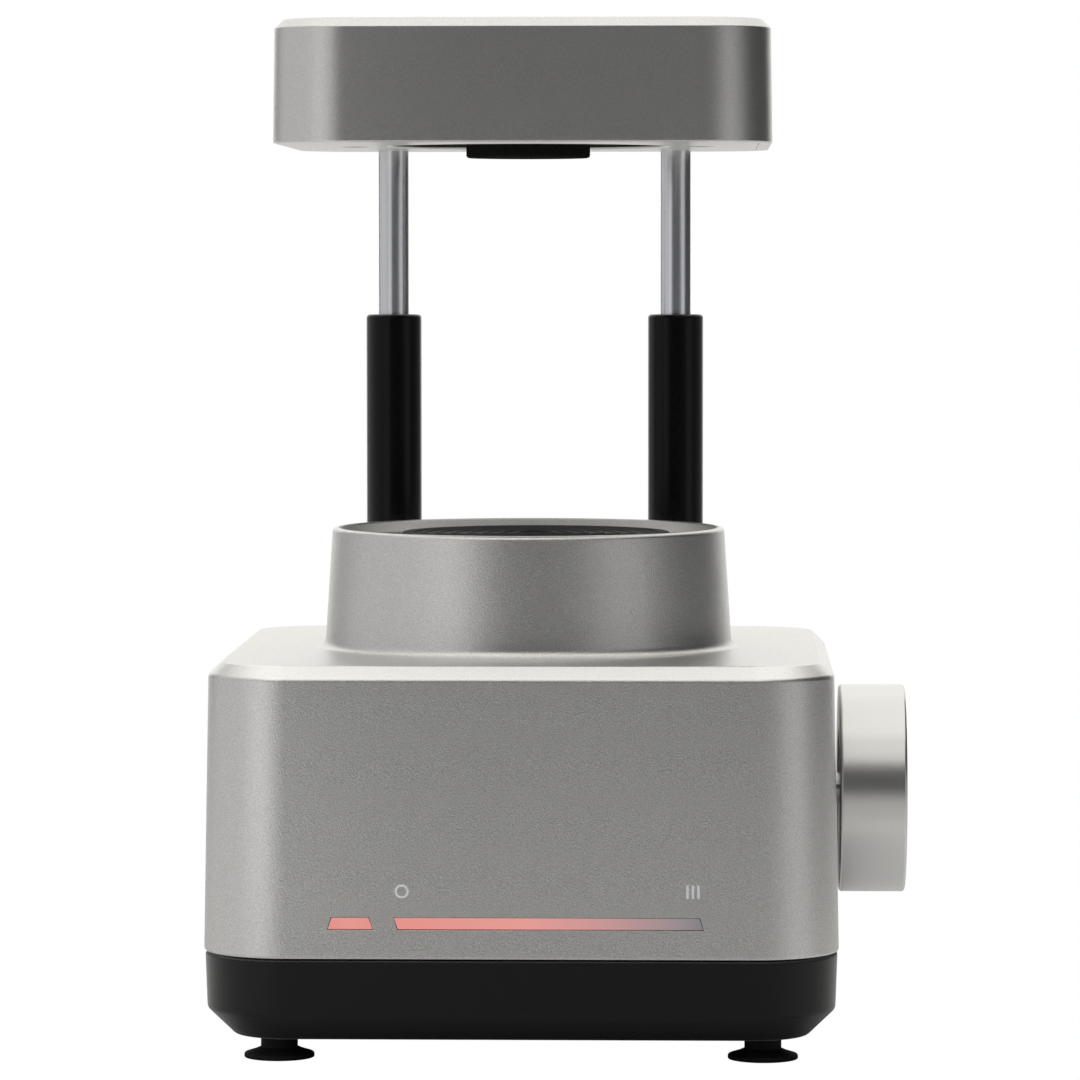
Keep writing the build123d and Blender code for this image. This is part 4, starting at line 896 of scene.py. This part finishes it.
column = {"tube": 5.6, "tubeInside": 4.8, "bottom": 30.0, "top": 139.8, "round": 0.7, "play": 0.05,
          "bushBottom": 131.8, "bushTop": 139.3, "rod": 3.1, "rodBottom": 65.5, "rodShoulder": 175.0,
          "stud": 2.5, "studTop": 188.0}
oneTube = lathe("one_tube", roundedPath([
    (column["tubeInside"], column["bottom"], 0.1), (column["tube"], column["bottom"], 0.2),
    (column["tube"], column["top"], column["round"]), (column["tubeInside"], column["top"], 0.08),
], steps=5), (0, columnPlace["y"], 0))
tubes = repeat("guide_tubes", oneTube, finishes["tube_black"], 2, columnPlace["spacing"])
smooth(tubes)
dress(tubes, finishes["tube_black"], "tube_black", "base", "guide_tube_left", "guide_tube_right")
bushBore, bushSide = column["rod"] + column["play"], column["tubeInside"] - column["play"]
oneBush = lathe("one_bush", roundedPath([
    (bushBore, column["bushBottom"], 0.1), (bushSide, column["bushBottom"], 0.1),
    (bushSide, column["bushTop"], 0.2), (bushBore, column["bushTop"], 0.3),
], steps=3), (0, columnPlace["y"], 0), steps=64)
bushes = repeat("guide_bushes", oneBush, finishes["bush_black"], 2, columnPlace["spacing"])
smooth(bushes)
dress(bushes, finishes["bush_black"], "bush_black", "base", "guide_bush_left", "guide_bush_right")
oneRod = lathe("one_rod", roundedPath([
    (0, column["rodBottom"], 0), (column["rod"], column["rodBottom"], 0.3),
    (column["rod"], column["rodShoulder"], 0.3), (column["stud"], column["rodShoulder"], 0.05),
    (column["stud"], column["studTop"], 0.3), (0, column["studTop"], 0),
], steps=3, closed=False), (0, columnPlace["y"], 0), closed=False)
rods = repeat("guide_rods", oneRod, finishes["rod_steel"], 2, columnPlace["spacing"])
smooth(rods)
dress(rods, finishes["rod_steel"], "rod_steel", "head", "guide_rod_left", "guide_rod_right")
print("columns made")

# Head

head = {"half": 47.5, "corner": 14.6, "bottom": 173.0, "top": 196.4, "draft": 0.9, "edge": 1.7,
        "edgeRound": 0.35, "footRound": 0.3, "wall": 2.5, "topWall": 3.0, "hub": 4.0}
headBoss = {"outer": 4.0, "bore": screws["bore"], "mouth": 177.0, "root": 193.6, "boreEnd": 184.0}


def makeHead(p):
    columns = squareColumns(p["half"] - p["corner"], p["corner"])
    lean = draftIn(p["bottom"], p["top"], p["draft"])
    edgeLean = draftIn(p["bottom"], p["top"] - p["edge"], p["draft"])
    ceiling = p["top"] - p["topWall"]
    inside = p["corner"] - p["wall"]
    path = roundedPath([
        (p["hub"], p["top"], 0),
        (p["corner"] - lean - p["edge"], p["top"], p["edgeRound"]),
        (p["corner"] - edgeLean, p["top"] - p["edge"], p["edgeRound"]),
        (p["corner"], p["bottom"], p["footRound"]),
        (inside, p["bottom"], 0.12),
        (inside - draftIn(p["bottom"], ceiling, p["draft"]), ceiling, 0.5),
        (p["hub"], ceiling, 0),
    ], closed=False)
    return ringShell("head_casting", columns, [("square", u, z) for u, z in path], closed=False)


headPiece = makeHead(head)
plateScrews = [(-screws["plateX"], 0, 0), (screws["plateX"], 0, 0)]
join(headPiece, [blindPost("head_boss", place, "Z", **headBoss) for place in plateScrews])
smooth(headPiece)
dress(headPiece, finishes["head_silver"], "head_silver", "head", "head_shell")

# The plate's screw hole is a profile of (radius, height)
plate = {"reach": 12.05, "core": 32.9, "bottom": 173.0, "top": 177.0, "recess": 27.7, "recessTop": 177.5,
         "recessWall": 2.0, "roof": 179.5, "stud": 3.05, "edgeDraft": 0.06, "seamIn": 1.0, "seamOut": 0.5,
         "screwHole": [(0, 172.0), (3.68, 172.0), (2.8, 173.0), (screws["bore"], 174.3),
                       (screws["bore"], 178), (0, 178)],
         "rodSeat": [(3.15, 172.0, 175.0), (2.55, 175.0, 178)], "rodBoss": (5.0, 2.55, 176.5, 183.0)}


def makePlate(p):
    columns = squareColumns(p["core"], p["reach"])
    under = roundedPath([
        (p["core"] - p["seamIn"], p["bottom"], 0),
        (p["recess"], p["bottom"], 0.35),
        (p["recess"], p["recessTop"], 0.3),
        (p["stud"], p["recessTop"], 0.1),
        (p["stud"], p["roof"], 0.1),
        (p["recess"] + p["recessWall"], p["roof"], 0.3),
        (p["recess"] + p["recessWall"], p["top"], 0.3),
        (p["core"] - p["seamIn"], p["top"], 0),
    ], closed=False)
    rim = roundedPath([
        (p["seamOut"], p["top"], 0),
        (p["reach"] - p["edgeDraft"], p["top"], 0.2),
        (p["reach"], p["bottom"], 0.2),
        (p["seamOut"], p["bottom"], 0),
    ], closed=False)
    rings = [("round", u, z) for u, z in under] + [("square", u, z) for u, z in rim]
    return ringShell("head_floor", columns, rings)


platePiece = makePlate(plate)
holes = [lathe("plate_sink", plate["screwHole"], place, steps=48, closed=False) for place in plateScrews]
holes += [drill("rod_seat", place, "Z", 48, plate["rodSeat"]) for place in columnAxes]
cut(platePiece, holes)
join(platePiece, [sleeve("rod_boss", place, *plate["rodBoss"]) for place in columnAxes])
smooth(platePiece)
dress(platePiece, finishes["plate_silver"], "plate_silver", "head", "head_plate")
print("head made")

# Clamp pad: its face has shallow rings that hold a cap

pad = {"radius": 12.15, "bottom": 170.8, "flange": 27.4, "flangeBottom": 173.4, "flangeTop": 177.5,
       "stud": 3.0, "roof": 179.5, "button": 4.5, "buttonTop": 181.5, "rings": 4, "firstRing": 1.85,
       "pitch": 2.4, "ringWidth": 1.25, "slope": 0.25, "grooveDepth": 0.35}
grooveFloor = pad["bottom"] + pad["grooveDepth"]
padPath = [(0, grooveFloor, 0)]
for ring in range(pad["rings"]):
    inner = pad["firstRing"] + ring * pad["pitch"]
    outer = inner + pad["ringWidth"]
    padPath += [(inner - pad["slope"], grooveFloor, 0.1), (inner, pad["bottom"], 0.1),
                (outer, pad["bottom"], 0.1), (outer + pad["slope"], grooveFloor, 0.1)]
# The last ring runs on into the pad's rim
padPath = padPath[:-1]
padPath += [(pad["radius"], pad["bottom"], 0.55), (pad["radius"], pad["flangeBottom"], 0.3),
            (pad["flange"], pad["flangeBottom"], 0.3), (pad["flange"], pad["flangeTop"], 0.1),
            (pad["stud"], pad["flangeTop"], 0.05), (pad["stud"], pad["roof"], 0.05),
            (pad["button"], pad["roof"], 0.2), (pad["button"], pad["buttonTop"], 0.67),
            (0, pad["buttonTop"], 0)]
padPiece = lathe("cap_pad", roundedPath(padPath, steps=3, closed=False), closed=False)
smooth(padPiece)
dress(padPiece, finishes["pad_rubber"], "pad_rubber", "head", "clamp_pad")

# Seat mat: a thin disc with grip rings inside its rim

mat = {"radius": 26.4, "bottom": 96.0, "top": 97.5, "offset": 1.45, "rim": 2.2, "dish": 0.35,
       "firstRing": 4.0, "pitch": 3.072, "rings": 7, "rib": 0.45}
rimInside, dishLevel = mat["radius"] - mat["rim"], mat["top"] - mat["dish"]
matBody = lathe("mat_body", roundedPath([
    (0, mat["bottom"], 0), (mat["radius"], mat["bottom"], 0.1), (mat["radius"], mat["top"], 0.5),
    (rimInside, mat["top"], 0.2), (rimInside, dishLevel, 0.1), (0, dishLevel, 0),
], steps=4, closed=False), (mat["offset"], 0, 0), closed=False)
ribs = grow("mat_ribs", gripRings, {
    "Rings": mat["rings"], "First Radius": mat["firstRing"] / 1000, "Pitch": mat["pitch"] / 1000,
    "Rib Radius": mat["rib"] / 1000,
    "Centre": tuple(toFrame(mat["offset"], 0, mat["top"] - mat["rib"])),
    "Finish": finishes["seat_rubber"],
})
join(matBody, [ribs])
matBody.name = "grip_mat"
smooth(matBody)
dress(matBody, finishes["seat_rubber"], "seat_rubber", "seat", "seat_mat")
print("pad and mat made")

# Speed knob, turned from bar, hollow behind its face

knob = {"radius": 20.35, "back": 61.067, "face": 73.967, "z": 47.0, "round": 0.6, "wall": 9.0,
        "faceWall": 3.0}
hollowSide, hollowEnd = knob["radius"] - knob["wall"], knob["face"] - knob["faceWall"]
knobPath = roundedPath([
    (0, knob["face"], 0), (knob["radius"], knob["face"], knob["round"]),
    (knob["radius"], knob["back"], knob["round"]), (hollowSide, knob["back"], 0.2),
    (hollowSide, hollowEnd, 0.4), (0, hollowEnd, 0),
], steps=6, closed=False)
knobPiece = lathe("speed_knob", knobPath, (0, 0, knob["z"]), "X", 144, False)
smooth(knobPiece)
dress(knobPiece, finishes["knob_silver"], "knob_silver", "knob", "knob")
print("knob made")

# Floor, world, lights

studio = {"floorFront": -1.0, "floorBack": 0.75, "floorSide": 0.75, "floorColour": 0.68, "floorBase": 0.1,
          "shadeFrom": 0.0565, "shadeTo": 0.063, "worldForCamera": 1.0, "worldForLight": 0.05}


def makeFloor(p):
    floor = link("floor", bpy.data.meshes.new("floor"))
    corners = [(-p["floorSide"], p["floorFront"], 0), (p["floorSide"], p["floorFront"], 0),
               (p["floorSide"], p["floorBack"], 0), (-p["floorSide"], p["floorBack"], 0)]
    floor.data.from_pydata(corners, [], [(0, 1, 2, 3)])
    material, tree, _ = newMaterial("pale_floor")
    tree.nodes.clear()
    output = tree.nodes.new("ShaderNodeOutputMaterial")
    seenByCamera = tree.nodes.new("ShaderNodeLightPath").outputs["Is Camera Ray"]
    diffuse = addNode(tree, "ShaderNodeBsdfDiffuse", {"Color": (p["floorColour"],) * 3 + (1,)})
    glow = tree.nodes.new("ShaderNodeEmission")
    seen = mathNode(tree, "MULTIPLY", seenByCamera, 1 - p["floorBase"])
    pale = addNode(tree, "ShaderNodeMixShader", {
        0: mathNode(tree, "ADD", seen, p["floorBase"]), 1: diffuse.outputs[0], 2: glow.outputs[0],
    })
    # The floor under the tray is dark in reflections; the camera still sees it white
    where = tree.nodes.new("ShaderNodeTexCoord").outputs["Object"]
    axes = addNode(tree, "ShaderNodeSeparateXYZ", {"Vector": where})
    sideways = mathNode(tree, "ABSOLUTE", mathNode(tree, "SUBTRACT", axes.outputs["X"], seatX))
    outward = mathNode(tree, "MAXIMUM", sideways, mathNode(tree, "ABSOLUTE", axes.outputs["Y"]))
    lit = addNode(tree, "ShaderNodeMapRange", {
        "Value": outward, "From Min": p["shadeFrom"], "From Max": p["shadeTo"],
    })
    shadow = addNode(tree, "ShaderNodeBsdfDiffuse", {"Color": (0, 0, 0, 1)})
    whole = addNode(tree, "ShaderNodeMixShader", {
        0: mathNode(tree, "MAXIMUM", lit.outputs[0], seenByCamera), 1: shadow.outputs[0], 2: pale.outputs[0],
    })
    fill(tree, output, {"Surface": whole.outputs[0]})
    floor.data.materials.append(material)


def makeWorld(p):
    world = bpy.data.worlds.new("studio")
    bpy.context.scene.world = world
    world.use_nodes = True
    tree = world.node_tree
    seenByCamera = tree.nodes.new("ShaderNodeLightPath").outputs["Is Camera Ray"]
    seen = mathNode(tree, "MULTIPLY", seenByCamera, p["worldForCamera"] - p["worldForLight"])
    fill(tree, tree.nodes["Background"], {
        "Color": (1, 1, 1, 1), "Strength": mathNode(tree, "ADD", seen, p["worldForLight"]),
    })


warmWhite = (1.0, 0.99, 0.955)
plainWhite = (1.0, 0.995, 1.0)


def panel(name, place, target, width, height, radiance, colour=plainWhite):
    # A soft box that faces its target; the camera doesn't see it
    data = bpy.data.lights.new(name, "AREA")
    data.shape = "RECTANGLE"
    data.size, data.size_y = width, height
    data.energy = radiance * pi * width * height
    data.color = colour
    light = bpy.data.objects.new(name, data)
    bpy.context.collection.objects.link(light)
    light.location = place
    light.rotation_euler = (Vector(target) - Vector(place)).to_track_quat("-Z", "Y").to_euler()
    light.visible_camera = False


makeFloor(studio)
makeWorld(studio)
# Each panel's place, target, width, height and radiance, in metres
panel("overhead", (0, 0.2, 1.15), (0, 0.2, 0), 1.5, 1.7, 0.97, warmWhite)
panel("front_top", (0, -1.15, 1.2), (0, 0, 0.1), 1.5, 0.75, 0.82, warmWhite)
panel("left_wall", (-0.85, 0.05, 0.35), (0, 0.05, 0.25), 1.4, 1.1, 0.46)
panel("left_top", (-0.8, 0.2, 1.025), (0, 0.2, 0.1), 1.7, 0.27, 0.6, warmWhite)
panel("right_top", (0.8, 0.2, 1.025), (0, 0.2, 0.1), 1.7, 0.27, 0.55, warmWhite)
panel("left_gap", (-0.85, -0.775, 0.17), (0, -0.775, 0.17), 0.25, 0.24, 0.46)
panel("left_front", (-0.17, -0.1925, 0.12), (-0.205, -0.0365, 0.12), 0.16, 0.7, 0.5)
panel("right_low", (0.80, -0.42, 0.0), (0, 0, 0.0), 0.42, 0.40, 0.63)
panel("right_high", (0.72, -0.72, 0.30), (0, 0, 0.2), 0.34, 0.26, 0.46)
panel("back_wall", (-0.02, 1.25, 0.5), (0, 0, 0.1), 1.76, 1.4, 0.98, warmWhite)
panel("under_knob", (0.105, -0.02, 0.003), (0.105, -0.02, 1), 0.1, 0.14, 0.13)
print("studio made")

# Camera

shot = {"place": (0.02832, -1.0707, 0.1501), "pan": 1.763, "tilt": 2.903, "roll": -0.03, "lens": 181.57}
cameraData = bpy.data.cameras.new("shot")
cameraData.lens = shot["lens"]
cameraData.sensor_width = 36
cameraData.clip_start, cameraData.clip_end = 0.01, 20
camera = bpy.data.objects.new("shot", cameraData)
bpy.context.collection.objects.link(camera)
aim = (Matrix.Rotation(radians(shot["pan"]), 4, "Z") @ Matrix.Rotation(radians(90 - shot["tilt"]), 4, "X")
       @ Matrix.Rotation(radians(shot["roll"]), 4, "Z"))
camera.matrix_world = Matrix.Translation(shot["place"]) @ aim
bpy.context.scene.camera = camera
bpy.context.scene.view_settings.view_transform = "Standard"
